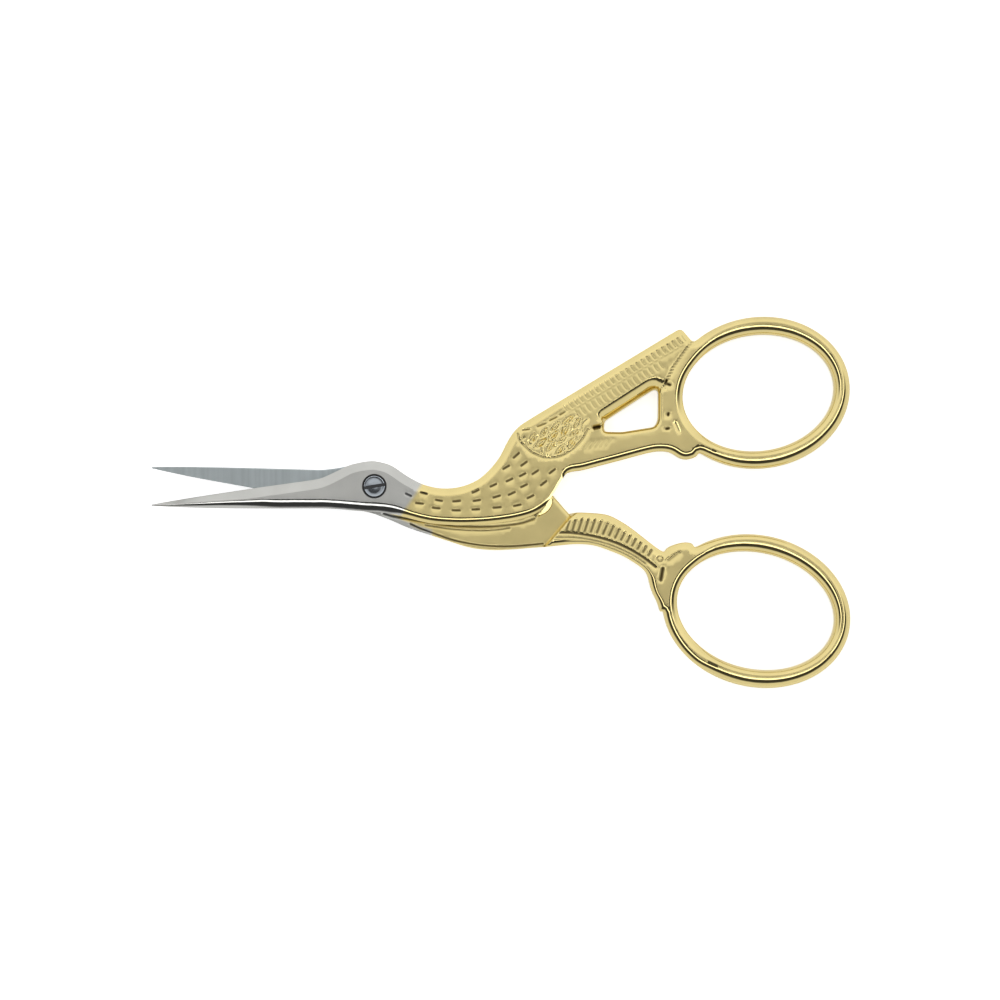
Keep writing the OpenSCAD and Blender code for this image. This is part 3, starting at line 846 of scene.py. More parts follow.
class Half:
    """One half of the scissors, seen from its outer face, with sign 1 where the outer face is up."""

    def __init__(self, name, sign, corners):
        self.name, self.sign = name, sign
        self.front = sign > 0
        self.sizes = millimetres(bpy.context.scene.scissors_forging)
        blade, handle = name + "_blade", name + "_handle"
        level = MID_Z + BESIDE_LAP * sign
        steel, gold = cut_loops(blade, level), cut_loops(handle, level)
        whole, plating_ends = joined(steel[0], gold[0])
        holes = gold[1:]
        self.turn = sign * OPEN_ANGLE / 2
        tip = whole[self.closed(whole)[:, 0].argmin()]
        corners = [tip, *[self.opened(c) for c in corners]]
        outer = even(softened(whole, EDGE_SOFTENING, corners), OUTLINE_STEP)
        clean = [np.array(WINDOW) if in_wing(h) else h for h in holes]
        openings = [even(softened(h, HOLE_SOFTENING), OUTLINE_STEP)[::-1] for h in clean]
        self.outline = Outline([outer, *openings])
        self.around = Outline([outer])
        self.finger_hole = Outline([max(self.outline.loops[1:], key=lambda loop: loop[:, 0].max())])
        self.bore_r = np.linalg.norm(np.array(steel[1]).mean(0) - steel[1], axis=1).mean()
        self.plating = Divide(plating_ends, beyond=gold[0].mean(0))
        self.step = self.find_step(cut_loops(handle, MID_Z - BESIDE_LAP * sign), whole, holes)
        self.lap = self.lap_level(blade)
        self.measure_blade(blade)

    def find_step(self, full, whole, holes):
        """The line where the lap ends in the full thickness, which only loops past the lap plane have."""
        rough = Outline([even(whole, OUTLINE_STEP)] + [h[::-1] for h in holes])
        stretch = np.vstack([even(loop, OUTLINE_STEP) for loop in full])
        inside = rough.gap(stretch) > STEP_INSIDE
        return Divide(farthest_pair(stretch[inside]), beyond=full[0].mean(0))

    def closed(self, points):
        """Points turned back to where the half is when the scissors are closed."""
        x, y = direction(-self.turn)
        return points @ np.array([[x, y], [-y, x]])

    def opened(self, points):
        x, y = direction(self.turn)
        return np.asarray(points, float) @ np.array([[x, y], [-y, x]])

    def lap_level(self, blade):
        low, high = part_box(blade)
        return 1000 * low.z - MID_Z if self.front else MID_Z - 1000 * high.z

    def measure_blade(self, blade):
        """The blade's length, its thickness at the tip, and its two edges along its length."""
        co = mesh_points(blade)
        flat = self.closed(co[:, :2])
        height = self.sign * (co[:, 2] - MID_Z)
        self.blade_l = -flat[:, 0].min()
        self.tip_t = height[flat[:, 0] < TIP_LENGTH - self.blade_l].max() - self.lap
        edge = self.closed(self.outline.loops[0])
        edge = edge[edge[:, 0] < EDGES_END]
        self.tip_v = edge[edge[:, 0].argmin(), 1]
        above = edge[:, 1] > self.middle(edge[:, 0])
        self.edges = [part[part[:, 0].argsort()] for part in (edge[above], edge[~above])]

    def middle(self, u):
        """Where the blade's back ends and its cutting edge starts, across the closed blade."""
        spine = mix(SPINE_V, 0, rise(*SPINE_END, u))
        return mix(self.tip_v, spine, rise(*TIP_BLEND, u + self.blade_l))

    def width(self, u):
        upper, lower = (np.interp(u, part[:, 0], part[:, 1]) for part in self.edges)
        return np.maximum(upper - lower, LEAST_BLADE_WIDTH)

    def thickness(self, u):
        share = (self.blade_l + u) / (self.blade_l - FULL_THICKNESS_FROM)
        return mix(self.tip_t, OUTER - self.lap, np.clip(share, 0, 1))

    def common_rules(self):
        """The rules of the rim all round: the ground side with its crown, the back, and the gilt edges."""
        s = self.sizes
        flat = self.closed(self.outline.start)
        u, v = flat[:, 0], flat[:, 1]
        t, w = self.thickness(u), self.width(u)
        on_blade = u < 0
        middle = np.where(on_blade, self.middle(u), -NECK_LEAN * u)
        cutting = (v > middle) == self.front
        on_head = rise(*GRIND_END, u)
        crown = on_head if self.front else on_head * REAR_CROWN
        bevel_w = np.minimum(mix(HEAD_BEVEL, s.bevel_width, 1 - on_head), WIDEST_BEVEL * w)
        cut_w = np.where(on_blade, bevel_w, HEAD_BEVEL)
        cut_h = mix(s.crown_height, t - s.edge_thickness, 1 - on_head)
        back_w = np.minimum(BACK_RIM_WIDTH * s.rim_width, np.where(on_blade, WIDEST_BACK_RIM * w, np.inf))
        slope = mix(*BACK_RIM_SLOPES, rise(*BACK_RIM_STEEPENS, u))
        back_h = np.minimum(slope * back_w, DEEPEST_BACK_RIM * t)
        steel = np.stack([
            np.where(cutting, cut_w, back_w), np.where(cutting, cut_h, back_h),
            np.where(cutting, mix(*HEAD_BEVEL_FLAT, crown), BACK_RIM_FLAT), np.where(cutting, 0.0, 1.0)], 1)
        gold = rise(*PLATING_BLEND, self.plating.past(self.outline.start))
        return mix(steel, np.array([s.rim_width, s.rim_height, 0, GILT_GENTLE]), gold[:, None])

    def rim_rules(self):
        """The rules of every rim, also where it is wider or flatter than the common one."""
        start, inward = self.outline.start, self.outline.inward
        (x, y), facing = start.T, inward[:, 1]
        rules = self.common_rules()
        outer = np.arange(len(start)) < len(self.outline.loops[0])
        if self.front:
            wings = [np.full(len(loop), in_wing(loop)) for loop in self.outline.loops]
            window = np.concatenate(wings) & ~outer
            upper = rise(*WINDOW_FACING, facing)[:, None]
            slope = np.array([self.sizes.window_slope, *WINDOW_SLOPE_RULE])
            rules = np.where(window[:, None], mix(np.array(WINDOW_RIM), slope, upper), rules)
            wing = span(x, *WING_SPAN) * (y > WING_LOW) * outer * (facing < WING_FACING)
            rules[:, :2] = mix(rules[:, :2], np.array(WING_RIM), wing[:, None])
            facet = span(x, *FACET_SPANS[0]) * span(y, *FACET_SPANS[1]) * outer
            rules = mix(rules, np.array(FACET_RIM), facet[:, None])
        else:
            leg = span(x, *LEG_SPAN) * rise(*LEG_FACING, facing) * outer
            rules[:, :2] = mix(rules[:, :2], np.array(LEG_RIM), leg[:, None])
        _, width, crest = self.ring_place(start + RING_INSET * inward)
        own_width = width * np.where(self.on_hole(start), 1 - crest, crest)
        plain = np.zeros(len(start))
        rounded = np.stack([own_width, plain + self.sizes.ring_height, plain, plain], 1)
        return mix(rules, rounded, rise(*RING_START, x)[:, None])

    def on_hole(self, points):
        """Which points of the outline belong to the finger hole."""
        return np.abs(self.finger_hole.gap(points)) < 1e-6

    def ring_place(self, points):
        """Share of the way across the finger ring, the ring's width there, and where its crest lies."""
        outer, where, _ = self.around.probe(points)
        width = np.clip(outer + self.finger_hole.gap(points), *RING_WIDTHS)
        return np.clip(outer / width, 0, 1), width, 0.5 + RING_LEAN * self.around.inward[where, 1]

    def ring_fall(self, points):
        """How far the finger ring falls away on both sides of its crest."""
        across, _, crest = self.ring_place(points)
        t = np.where(across < crest, 1 - across / crest, 1 - (1 - across) / (1 - crest))
        return self.sizes.ring_height * (1 - np.sqrt(1 - np.clip(t, 0, 1) ** 2))

    def heights(self, points):
        """Outer and inner height of each point over the middle plane, and its shading attributes."""
        gap, where, share = self.outline.probe(points)
        gap = np.maximum(gap, 0)
        ahead = self.outline.ahead[where]
        rules = mix(self.edge_rules[where], self.edge_rules[ahead], share[:, None])
        drop = mix(fall(gap, rules), self.ring_fall(points), rise(*RING_START, points[:, 0]))
        u = self.closed(points)[:, 0]
        plain = np.zeros(len(points))
        outer = self.lap + self.thickness(u) - drop

        up_step = np.clip(self.step.past(points) / self.sizes.step_width, 0, 1)
        full = np.sqrt(1 - (1 - up_step) ** 2)
        thickest = 2 * OUTER - LEAST_THICKNESS
        under = drop * np.minimum(1, (thickest - rules[:, 1]) / rules[:, 1])
        worn = mix(*LAP_EDGES, rise(*LAP_EDGE_BLEND, self.plating.past(points)))
        worn = np.maximum(worn * rise(*LAP_EDGE_START, u), LEAST_LAP_EDGE)
        lap = self.lap + fall(gap, np.stack([worn, LAP_EDGE_HEIGHT * worn, plain, plain], 1))
        sunk, polished = (plain, plain) if self.front else hollow(points)
        inner = mix(lap + sunk, -OUTER + under, full)

        # Painted shade: the counterbore's floor and the narrow gap round the screw head are painted dark
        # through the cut attribute
        painted_gap_shade = plain
        if self.front:
            r = np.linalg.norm(points, axis=1)
            chamfer = np.clip(COUNTERBORE_R + COUNTERBORE_CHAMFER - r, 0, COUNTERBORE_CHAMFER)
            outer = np.where(r < COUNTERBORE_R - COUNTERBORE_WALL / 2, counterbore_floor(), outer - chamfer)
            painted_gap_shade = 1.0 * (r < COUNTERBORE_R + COUNTERBORE_WALL / 2)
        bevelled = rise(*BEVEL_SHARES, rules[:, 2])
        brightness = mix(*RIM_BRIGHTNESS, rise(*BRIGHT_RIM_FROM, u))
        rim = np.clip(1 - gap / rules[:, 0], 0, 1) * (1 - bevelled) * brightness
        ground = (1 - full) * (1 - rise(*LAP_GRIND_END, u))
        return outer, inner, {
            "rim": (rim, rim * full), "lap": (plain, 1 - full), "ground": (plain, ground),
            "inset": (gap, gap), "cut": (painted_gap_shade, plain), "polish": (plain, polished), "full": (full, full)}

    def fixed_lines(self):
        """The points and the edges of the lines that the mesh must follow."""
        edges, points = [], []

        def chain(line, shut=False):
            first = sum(len(x) for x in points)
            points.append(np.asarray(line))
            edges.extend((first + i, first + i + 1) for i in range(len(line) - 1))
            if shut:
                edges.append((first + len(line) - 1, first))

        for loop in self.outline.loops:
            chain(loop, shut=True)
        chain(ring(self.bore_r, BORE_POINTS), shut=True)
        if self.front:
            for further in (-COUNTERBORE_WALL, 0, COUNTERBORE_CHAMFER):
                chain(ring(COUNTERBORE_R + further, BORE_POINTS), shut=True)
        for line, rows in self.row_lines():
            count = math.ceil((line.reach + 2 * LINE_OVERRUN) / LINE_STEP)
            for row in rows:
                places = np.linspace(-LINE_OVERRUN, line.reach + LINE_OVERRUN, count)
                chain([line.start + line.side * row + line.along * t for t in places])
        if not self.front:
            for line in hollow_lines():
                chain(line)
        return np.vstack(points), edges

    def row_lines(self):
        """The plating line, and the step with the rows of its slope."""
        turns = [self.sizes.step_width * (1 - math.cos(math.radians(a))) for a in STEP_TURNS]
        return [(self.plating, [0]), (self.step, [0, *turns])]

    def rim_points(self):
        """Rows of points along the rims, closest together at the edge."""
        start, width = self.outline.start, self.edge_rules[:, :1]
        on_hole = self.on_hole(start)
        in_ring = rise(*RING_START, start[:, 0]) > 0.5
        rows = []
        for k, row in enumerate(RIM_ROWS):
            inset = start + self.outline.inward * (row * width)
            own = np.where(on_hole, self.finger_hole.gap(inset), self.around.gap(inset))
            gap = np.where(in_ring, own, self.outline.gap(inset))
            keep = gap > row * width[:, 0] - ROW_TOLERANCE
            if row == 1:
                keep &= ~(on_hole & in_ring)
            rows.append(inset[keep] if k < CLOSE_ROWS else thinned(inset[keep], RIM_APART))
        return np.vstack(rows)

    def build_points(self, marks):
        """The points of both faces, and the lines that the mesh must follow."""
        fixed, edges = self.fixed_lines()
        rims = self.rim_points()
        carved = np.vstack([stroke_points(m) for m in marks])
        carved = thinned(carved[self.outline.gap(carved) > CARVED_INSET], CARVED_APART)
        rims = self.clear_of(rims, carved)
        fill = grid(self.outline.start.min(0), self.outline.start.max(0), FILL_STEP)
        fill = fill[self.outline.gap(fill) > FILL_INSET]
        fill = thinned(fill, FILL_APART, np.vstack([rims, carved]))
        inner = np.vstack([rims, carved, fill])
        seat = COUNTERBORE_R + SEAT_CLEARANCE if self.front else self.bore_r + BORE_CLEARANCE
        inner = inner[np.linalg.norm(inner, axis=1) > seat]
        for line, rows in self.row_lines():
            off = line.past(inner)
            inner = inner[(off < min(rows) - LINE_CLEARANCE) | (off > max(rows) + LINE_CLEARANCE)]
        return np.vstack([fixed, inner]), edges

    def clear_of(self, rims, carved):
        """Rim points that don't crowd the carved ones."""
        tree = point_tree(carved)
        apart = np.array([tree.find((x, y, 0))[2] for x, y in rims])
        return rims[(self.outline.gap(rims) <= FILL_INSET) | (apart > CARVED_CLEARANCE)]

    def faces(self, marks):
        """The points of a face, and its triangles in steel and in gilt."""
        points, edges = self.build_points(marks)
        found, _, triangles, *_ = delaunay_2d_cdt([Vector(p) for p in points], edges, [], 0, 1e-7)
        points = np.array([tuple(p) for p in found])
        triangles = np.array([t for t in triangles if len(t) == 3])
        corners = points[triangles]
        middle = corners.mean(1)
        size = np.cross(corners[:, 1] - corners[:, 0], corners[:, 2] - corners[:, 0])
        triangles = np.where(size[:, None] < 0, triangles[:, ::-1], triangles)
        gap = self.outline.gap(points)
        on_edge = (np.abs(gap) < 1e-4)[triangles].all(1)
        keep = np.linalg.norm(middle, axis=1) > self.bore_r * 0.999
        keep &= ~on_edge | (self.outline.gap(middle) > 0)
        keep &= (gap > -1e-4)[triangles].all(1)
        keep &= np.abs(size) > 1e-7
        gold = self.plating.past(middle) > 0
        return points, triangles[keep & ~gold], triangles[keep & gold]

    def piece(self, name, points, triangles, material):
        """A closed mesh between the outer and the inner face."""
        used, triangles = np.unique(triangles, return_inverse=True)
        triangles = triangles.reshape(-1, 3)
        flat = points[used]
        outer, inner, shades = self.heights(flat)
        count = len(flat)
        sides = np.vstack([triangles[:, [0, 1]], triangles[:, [1, 2]], triangles[:, [2, 0]]])
        twins = set(map(tuple, sides))
        border = [(a, b) for a, b in sides if (b, a) not in twins]
        wall = [(a + count, b + count, b, a) for a, b in border]
        top, bottom = triangles.tolist(), (triangles[:, ::-1] + count).tolist()
        if not self.front:
            wall = [w[::-1] for w in wall]
            top, bottom = triangles[:, ::-1].tolist(), (triangles + count).tolist()
        z = np.concatenate([MID_Z + self.sign * outer, MID_Z + self.sign * inner])
        vertices = np.column_stack([np.vstack([flat, flat]), z]) * MM
        obj = new_object(name, vertices, [], top + bottom + wall)
        none = np.zeros(count)
        plated = self.plating.past(flat)
        shades["plated"] = plated, plated
        # Which way a mark on each face sinks: on both faces, or on one of them alone
        shades["both"] = none + self.sign, -self.sign * (shades.pop("full")[1] > 0.999)
        shades["outer"] = none + self.sign, none
        shades["inner"] = none, none - self.sign
        for label, pair in shades.items():
            write_attribute(obj, label, np.concatenate(pair).astype(np.float32))
        obj.data.materials.append(material)
        return obj

    def build(self, steel_marks, gold_marks):
        """Both pieces of the half, carved and shaded."""
        self.edge_rules = self.rim_rules()
        points, steel_faces, gold_faces = self.faces(gold_marks + steel_marks)
        for suffix, slot, faces, marks, material, crease in (
                ("blade", "steel", steel_faces, steel_marks, steel_material(), 24),
                ("handle", "gold", gold_faces, gold_marks, gilt_material(), 50)):
            piece = self.piece(f"{self.name}_{suffix}_forging", points, faces, material)
            for group in marks:
                set_inputs(piece, ready("Carving", carving_tree), {
                    "Strokes": group.as_object(), "Width": group.width * MM, "Depth": group.depth * MM,
                    "Tarnish": group.tarnish_and_shade, "Polish": group.polish, "Face": group.face,
                    "Material": material})
            plain_mesh(piece)
            piece.data.shade_smooth()
            piece.data.set_sharp_from_angle(angle=math.radians(crease))
            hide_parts(f"{self.name}_{suffix}")
            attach(piece, f"{self.name}_half")
            if not piece.data.polygons:
                raise RuntimeError(f"{piece.name} has no faces")
            for group in marks:
                bpy.data.objects.remove(group.as_object())


def in_wing(loop):
    """Whether an opening is the window in the wing."""
    return loop[:, 0].mean() < WINGS_END


def counterbore_floor():
    """Height of the counterbore's floor over the middle plane."""
    co = mesh_points("front_blade")
    near = np.linalg.norm(co[:, :2], axis=1) < SEAT_REACH
    levels = np.unique(np.round(co[near, 2] - MID_Z, 3))
    return float(levels[(levels > SEAT_LEVELS[0]) & (levels < SEAT_LEVELS[1])].mean())


# Finishes of the metals

def hairlines_group():
    """Fine parallel grinding lines along a direction, and a soft cloud, as values around a half."""
    group, add, given, out = node_group("Hairlines", "ShaderNodeTree", [
        ("Vector", "NodeSocketVector", None), ("Turn", "NodeSocketVector", (0, 0, 0)),
        ("Scale", "NodeSocketFloat", 2000.0), ("Stretch", "NodeSocketVector", (0.03, 1, 1))],
        [("Lines", "NodeSocketFloat"), ("Cloud", "NodeSocketFloat")])
    turned = add("ShaderNodeVectorRotate", {"Vector": given["Vector"], "Rotation": given["Turn"]},
                 rotation_type="EULER_XYZ")
    drawn = add("ShaderNodeVectorMath", {0: turned.outputs[0], 1: given["Stretch"]}, operation="MULTIPLY")
    lines = add("ShaderNodeTexNoise", {"Vector": drawn.outputs[0], "Scale": given["Scale"], "Detail": 3.0})
    cloud = add("ShaderNodeTexNoise", {"Vector": given["Vector"], "Scale": 260.0, "Detail": 3.0})
    group.links.new(lines.outputs["Fac"], out["Lines"])
    group.links.new(cloud.outputs["Fac"], out["Cloud"])
    return group


def new_material(name):
    """A material with its surface, and a helper that adds its nodes."""
    material = bpy.data.materials.new(name)
    material.use_nodes = True
    material.node_tree.nodes.clear()
    add = node_adder(material.node_tree)
    surface = add("ShaderNodeBsdfPrincipled")
    add("ShaderNodeOutputMaterial", {"Surface": surface.outputs[0]})
    return material, add, surface


def metal(name, colour, tint, mark_and_shade_colour, turn, stretch, roughness):
    """Plated or ground metal: satin flats with hairlines, bright rims, dark marks of tarnish and painted
    shade, a soft plating line.
    """
    material, add, surface = new_material(name)
    links = material.node_tree.links
    finish = bpy.context.scene.scissors_finish
    flat_rough, rim_rough, lap_rough = roughness
    place = add("ShaderNodeTexCoord").outputs["Object"]
    hair = add("ShaderNodeGroup", {"Vector": place, "Turn": turn, "Stretch": stretch},
               node_tree=ready("Hairlines", hairlines_group)).outputs

    def ramp(value, low, high, start=0.0, end=1.0):
        return add("ShaderNodeMapRange", {
            "Value": value, "From Min": low, "From Max": high, "To Min": start, "To Max": end}).outputs[0]

    def layer(attribute, *places):
        return ramp(add("ShaderNodeAttribute", attribute_name=attribute).outputs["Fac"], *places)

    def blend(factor, first, second, kind="RGBA", mode="MIX"):
        slots = (6, 7, 2) if kind == "RGBA" else (2, 3, 0)
        made = add("ShaderNodeMix", {0: factor, slots[0]: first, slots[1]: second}, data_type=kind)
        if kind == "RGBA":
            made.blend_type = mode
        return made.outputs[slots[2]]

    def combine(operation, *values):
        return add("ShaderNodeMath", dict(enumerate(values)), operation=operation).outputs[0]

    # Roughness: bright rims, a satin lap, polished carved lines, and wear along the hairlines
    bright = layer("rim", 0.0, 0.08, flat_rough, rim_rough)
    lapped = blend(layer("lap", 0.5, 1.0), bright, lap_rough, "FLOAT")
    polished = blend(layer("polish", 0.0, 0.2), lapped, 2 * rim_rough, "FLOAT")
    worn = combine("MULTIPLY_ADD", hair["Lines"], 0.08, polished)
    links.new(combine("SUBTRACT", worn, 0.04), surface.inputs["Roughness"])

    # The plating ends in a wavy line, and spills some way on to the lap, but not over its worn edge
    plating = add("ShaderNodeAttribute", attribute_name="plated").outputs["Fac"]
    wavy = combine("MULTIPLY_ADD", hair["Cloud"], 0.5, plating)
    gold = ramp(wavy, 0.0, 0.5)
    spill = ramp(wavy, -5.4, -4.2)
    on_lap = combine("MULTIPLY", layer("lap", 0.5, 1.0), layer("inset", 0.5, 0.9))
    plated = combine("MAXIMUM", gold, combine("MULTIPLY", on_lap, spill))

    # Colour: bare metal or its ground inner face, then gilt, then a cloudy shade, then the dark marks
    grain = ramp(hair["Lines"], 0.35, 0.65, 0.94, 1.04)
    base = blend(layer("ground", 0.0, 1.0), (*colour, 1), blend(1.0, (*tint, 1), grain, mode="MULTIPLY"))
    metals = blend(plated, base, (*finish.gilt, 1))
    # Colour: bare metal or its ground inner face, then gilt, then a cloudy shade, then the dark marks:
    # tarnish in the carving, painted shade in the screw's gap and slot, and painted shadow on the lap
    tone = blend(1.0, metals, ramp(hair["Cloud"], 0.3, 0.7, 0.9, 1.0), mode="MULTIPLY")
    links.new(blend(layer("cut", 0.1, 0.5, 0.0, 0.94), tone, (*mark_and_shade_colour, 1)), surface.inputs["Base Color"])
    surface.inputs["Metallic"].default_value = 1.0

    swell = add("ShaderNodeBump", {"Strength": 0.5, "Distance": 0.07 * MM, "Height": hair["Cloud"]})
    bump = add("ShaderNodeBump", {
        "Strength": 0.1, "Distance": 0.01 * MM, "Height": hair["Lines"], "Normal": swell.outputs[0]})
    links.new(bump.outputs[0], surface.inputs["Normal"])
    return material


def gilt_material():
    finish = bpy.context.scene.scissors_finish
    return bpy.data.materials.get("Gilt plating") or metal(
        "Gilt plating", finish.steel, finish.gilt, finish.tarnish_and_shade,
        turn=(0, 0, math.radians(-30)), stretch=(0.25, 1, 1), roughness=(0.3, 0.07, 0.3))


def steel_material():
    finish = bpy.context.scene.scissors_finish
    return bpy.data.materials.get("Ground steel") or metal(
        "Ground steel", finish.steel, finish.blued, finish.grime_and_shade,
        turn=(0, 0, 0), stretch=(1, 0.04, 1), roughness=(0.32, 0.06, 0.3))


def screw_material():
    finish = bpy.context.scene.scissors_finish
    return bpy.data.materials.get("Turned steel") or metal(
        "Turned steel", finish.screw, finish.screw, finish.grime_and_shade,
        turn=(0, 0, 0), stretch=(1, 1, 1), roughness=(0.12, 0.12, 0.12))


# Places of the carved marks that follow a rule: the rows of leaf feathers, and the tool cuts among them

LEAF_MIDDLE = (23.0, 6.4)
LEAF_PITCH = (1.75, 0.95)
LEAF_ROWS_TURN = 28
LEAF_INSET = 0.4
TOOL_AREA = ((18.5, 3.5), (28, 9.5))
TOOL_TRIES = 110
TOOL_INSET = 0.3
TOOL_APART = 0.5


def shifted(marks, by):
    """Marks moved sideways, square to their own turn, by a distance in millimetres."""
    return [(x - by * math.sin(math.radians(turn)), y + by * math.cos(math.radians(turn)), turn, size)
            for x, y, turn, size in marks]


def cartouche_places():
    """Staggered places for the leaf feathers inside the shoulder's oval."""
    oval = Outline([np.array(CARTOUCHE_RIM + CARTOUCHE_TOP)])
    along = LEAF_PITCH[0] * direction(LEAF_ROWS_TURN)
    up = LEAF_PITCH[1] * direction(LEAF_ROWS_TURN + 90)
    places = []
    for i in range(-4, 6):
        for j in range(-5, 6):
            p = np.array(LEAF_MIDDLE) + (i + 0.5 * (j % 2)) * along + j * up
            if oval.gap(p[None])[0] > LEAF_INSET:
                turn = 48 + 16 * math.sin(7 * i + 3 * j)
                places.append((*p, turn, 0.85 + 0.15 * math.cos(5 * i - 4 * j)))
    return places


def tool_places():
    """Places for the short tool cuts between the leaf feathers."""
    oval = Outline([np.array(CARTOUCHE_RIM + CARTOUCHE_TOP)])
    random = np.random.default_rng(7)
    points = random.uniform(*TOOL_AREA, (TOOL_TRIES, 2))
    points = thinned(points[oval.gap(points) > TOOL_INSET], TOOL_APART)
    turns = random.uniform(10, 95, len(points))
    sizes = random.uniform(0.5, 1, len(points))
    return [(*p, turn, size) for p, turn, size in zip(points, turns, sizes)]


# Operators

class SCISSORS_OT_front_half(bpy.types.Operator):
    """Forge and carve the front half: lower blade, head, neck, breast, wing, front leg and upper ring"""
    bl_idname = "scissors.front_half"
    bl_label = "Front half"

    def execute(self, context):
        sizes = millimetres(context.scene.scissors_carving)
        dash_l, dash_w, dash_d = sizes.dash_length, sizes.dash_width, sizes.dash_depth
        scoops = Marks("scoops", 1.6 * dash_w, dash_d, 0).row(shifted(FEATHER_DASHES, -0.17), 0.6 * dash_l)
        dashes = Marks("dashes", dash_w, dash_d, 1).row(shifted(FEATHER_DASHES, 0.06), dash_l)
        steel_dash = Marks("steel_dash", dash_w, dash_d, 1).row(FEATHER_DASHES[:1], dash_l)

        shaft = Divide(RACHIS, beyond=ABOVE_WING)
        barbs = Marks("barbs", 0.44, sizes.barb_depth, 0.24)
        for side, first, last, size in BARB_ROWS:
            ends = [shaft.start + shaft.along * d + shaft.side * side for d in (first, last)]
            barbs.row([(*p, BARB_TURN, size) for p in ends], 0.75, sizes.barb_pitch, bow=0.1)
        rachis = Marks("rachis", 0.26, 0.04, 0)
        for side in (0.16, -0.16):
            rachis.line([np.array(p) + shaft.side * side for p in RACHIS])

        feathers = Marks("feathers", 0.3, 0.13, 0.17, 1)
        places = cartouche_places()
        for bow in (0.6, -0.6):
            feathers.row(places, 2.0, bow=bow)
        feathers.row([(x, y, turn, 0.6 * size) for x, y, turn, size in places], 1.6)
        cuts = Marks("cuts", 0.36, 0.14, 0.4).row(SHOULDER_CUTS, 1.1)
        rim = Marks("rim", 0.46, 0.14, 0.28, 1).line(curved(CARTOUCHE_RIM))
        tooling = Marks("tooling", 0.26, 0.08, 0.2, 1).row(tool_places(), 1.1, bow=0.15)
        hatch = Marks("hatch", 0.26, 0.04, 0.16).row(HATCH, 1.4, 0.55)
        pits = Marks("pits", 0.5, 0.22, 1).row(PITS, 1.0)
        recess = Marks("recess", 0.7, 0.5, 0.6).line(WINDOW_RECESS)
        junction = Marks("junction", 0.5, 0.12, 0.3).row([(*p, 20, 0.3) for p in WING_END], 1.0, 0.42)
        scoop = Marks("scoop", 0.8, 0.1, 0, 1).line(FRONT_SCOOP)
        gilt = [scoops, dashes, barbs, rachis, feathers, tooling, cuts, rim, hatch]
        gilt += [pits, recess, junction, scoop]
        Half("front", 1, FRONT_CORNERS).build([steel_dash], gilt)
        return {"FINISHED"}


class SCISSORS_OT_rear_half(bpy.types.Operator):
    """Forge and carve the rear half: upper blade, beak lap, ribbed leg and lower ring"""
    bl_idname = "scissors.rear_half"
    bl_label = "Rear half"

    def execute(self, context):
        sizes = millimetres(context.scene.scissors_carving)
        ribs = Marks("ribs", 0.56, sizes.rib_depth, 0.45).row(RIBS, 1.6, sizes.rib_pitch)
        panel = Marks("panel", 0.55, sizes.line_depth, 0.7, 1).line(curved(PANEL_LINE))
        ledge = Marks("ledge", 0.4, 0.08, 0.4).line(curved(PANEL_STEP))
        eye = Marks("eye", 0.28, 0.1, 0.4).line(LEG_EYE, shut=True)
        slot = Marks("slot", 0.6, 0.2, 1).line(LEG_SLOT)
        scoop = Marks("knob", 0.7, 0.2, 0.2).line(REAR_SCOOP)
        back = Marks("back", sizes.dash_width, sizes.dash_depth, 1, face="outer")
        back.row(BACK_DASHES, sizes.dash_length)
        # Painted shadow and reflection: these lap lines are carved shallow and painted dark
        steel_painted_lines, gilt_painted_lines = [
            [Marks(name + metal_name, width, depth, tarnish_and_shade, face="inner").line(curved(points))
             for name, width, depth, tarnish_and_shade, points in (
                ("near_seam_", 0.54, 0.09, 0.55, NEAR_PAINTED_SHADOW), ("far_seam_", 0.46, 0.06, 0.48, FAR_PAINTED_SHADOW),
                ("edge_line_", 0.4, 0.1, 0.7, EDGE_PAINTED_REFLECTION))]
            for metal_name in ("steel", "gilt")]
        Half("rear", -1, REAR_CORNERS).build(
            steel_painted_lines, [ribs, panel, ledge, eye, slot, scoop, back, *gilt_painted_lines])
        return {"FINISHED"}


# The screw's slot and chamfer, in millimetres: the slot is wider at the top, and turned from the X axis
SLOT_DEPTH = 0.35
SLOT_WIDTHS = (0.42, 0.3)
SLOT_TURN = 10
SCREW_CHAMFER = 0.12
SCREW_SIDES = 96


def screw_profile():
    """The turned outline of the screw from its foot to its top, as distances from the axis and heights."""
    low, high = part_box("pivot_screw")
    co = np.array([v.co for v in frame["nodes"]["pivot_screw"].data.vertices])
    r = np.linalg.norm(co[:, :2], axis=1)
    head_r, foot, top = r.max(), low.z, high.z
    # The edges under the head, at the foot and between shank and thread, each found by the points near it
    head_z = co[r > 0.95 * head_r, 2].min()
    shank_r = r[(co[:, 2] < head_z + 1e-6) & (r < 0.8 * head_r)].max()
    thread_r = r[co[:, 2] < foot + 1e-6].max()
    shank_z = co[(r > 0.97 * shank_r) & (r < 1.03 * shank_r), 2].min()
    chamfer = SCREW_CHAMFER * MM
    return [
        (0, foot), (thread_r - chamfer, foot), (thread_r, foot + chamfer), (thread_r, shank_z),
        (shank_r, shank_z), (shank_r, head_z), (head_r, head_z), (head_r, top - chamfer),
        (head_r - 0.35 * chamfer, top - 0.35 * chamfer), (head_r - chamfer, top - 0.5 * chamfer),
        (0.6 * head_r, top - 0.2 * chamfer), (0.3 * head_r, top - 0.05 * chamfer), (0, top)]


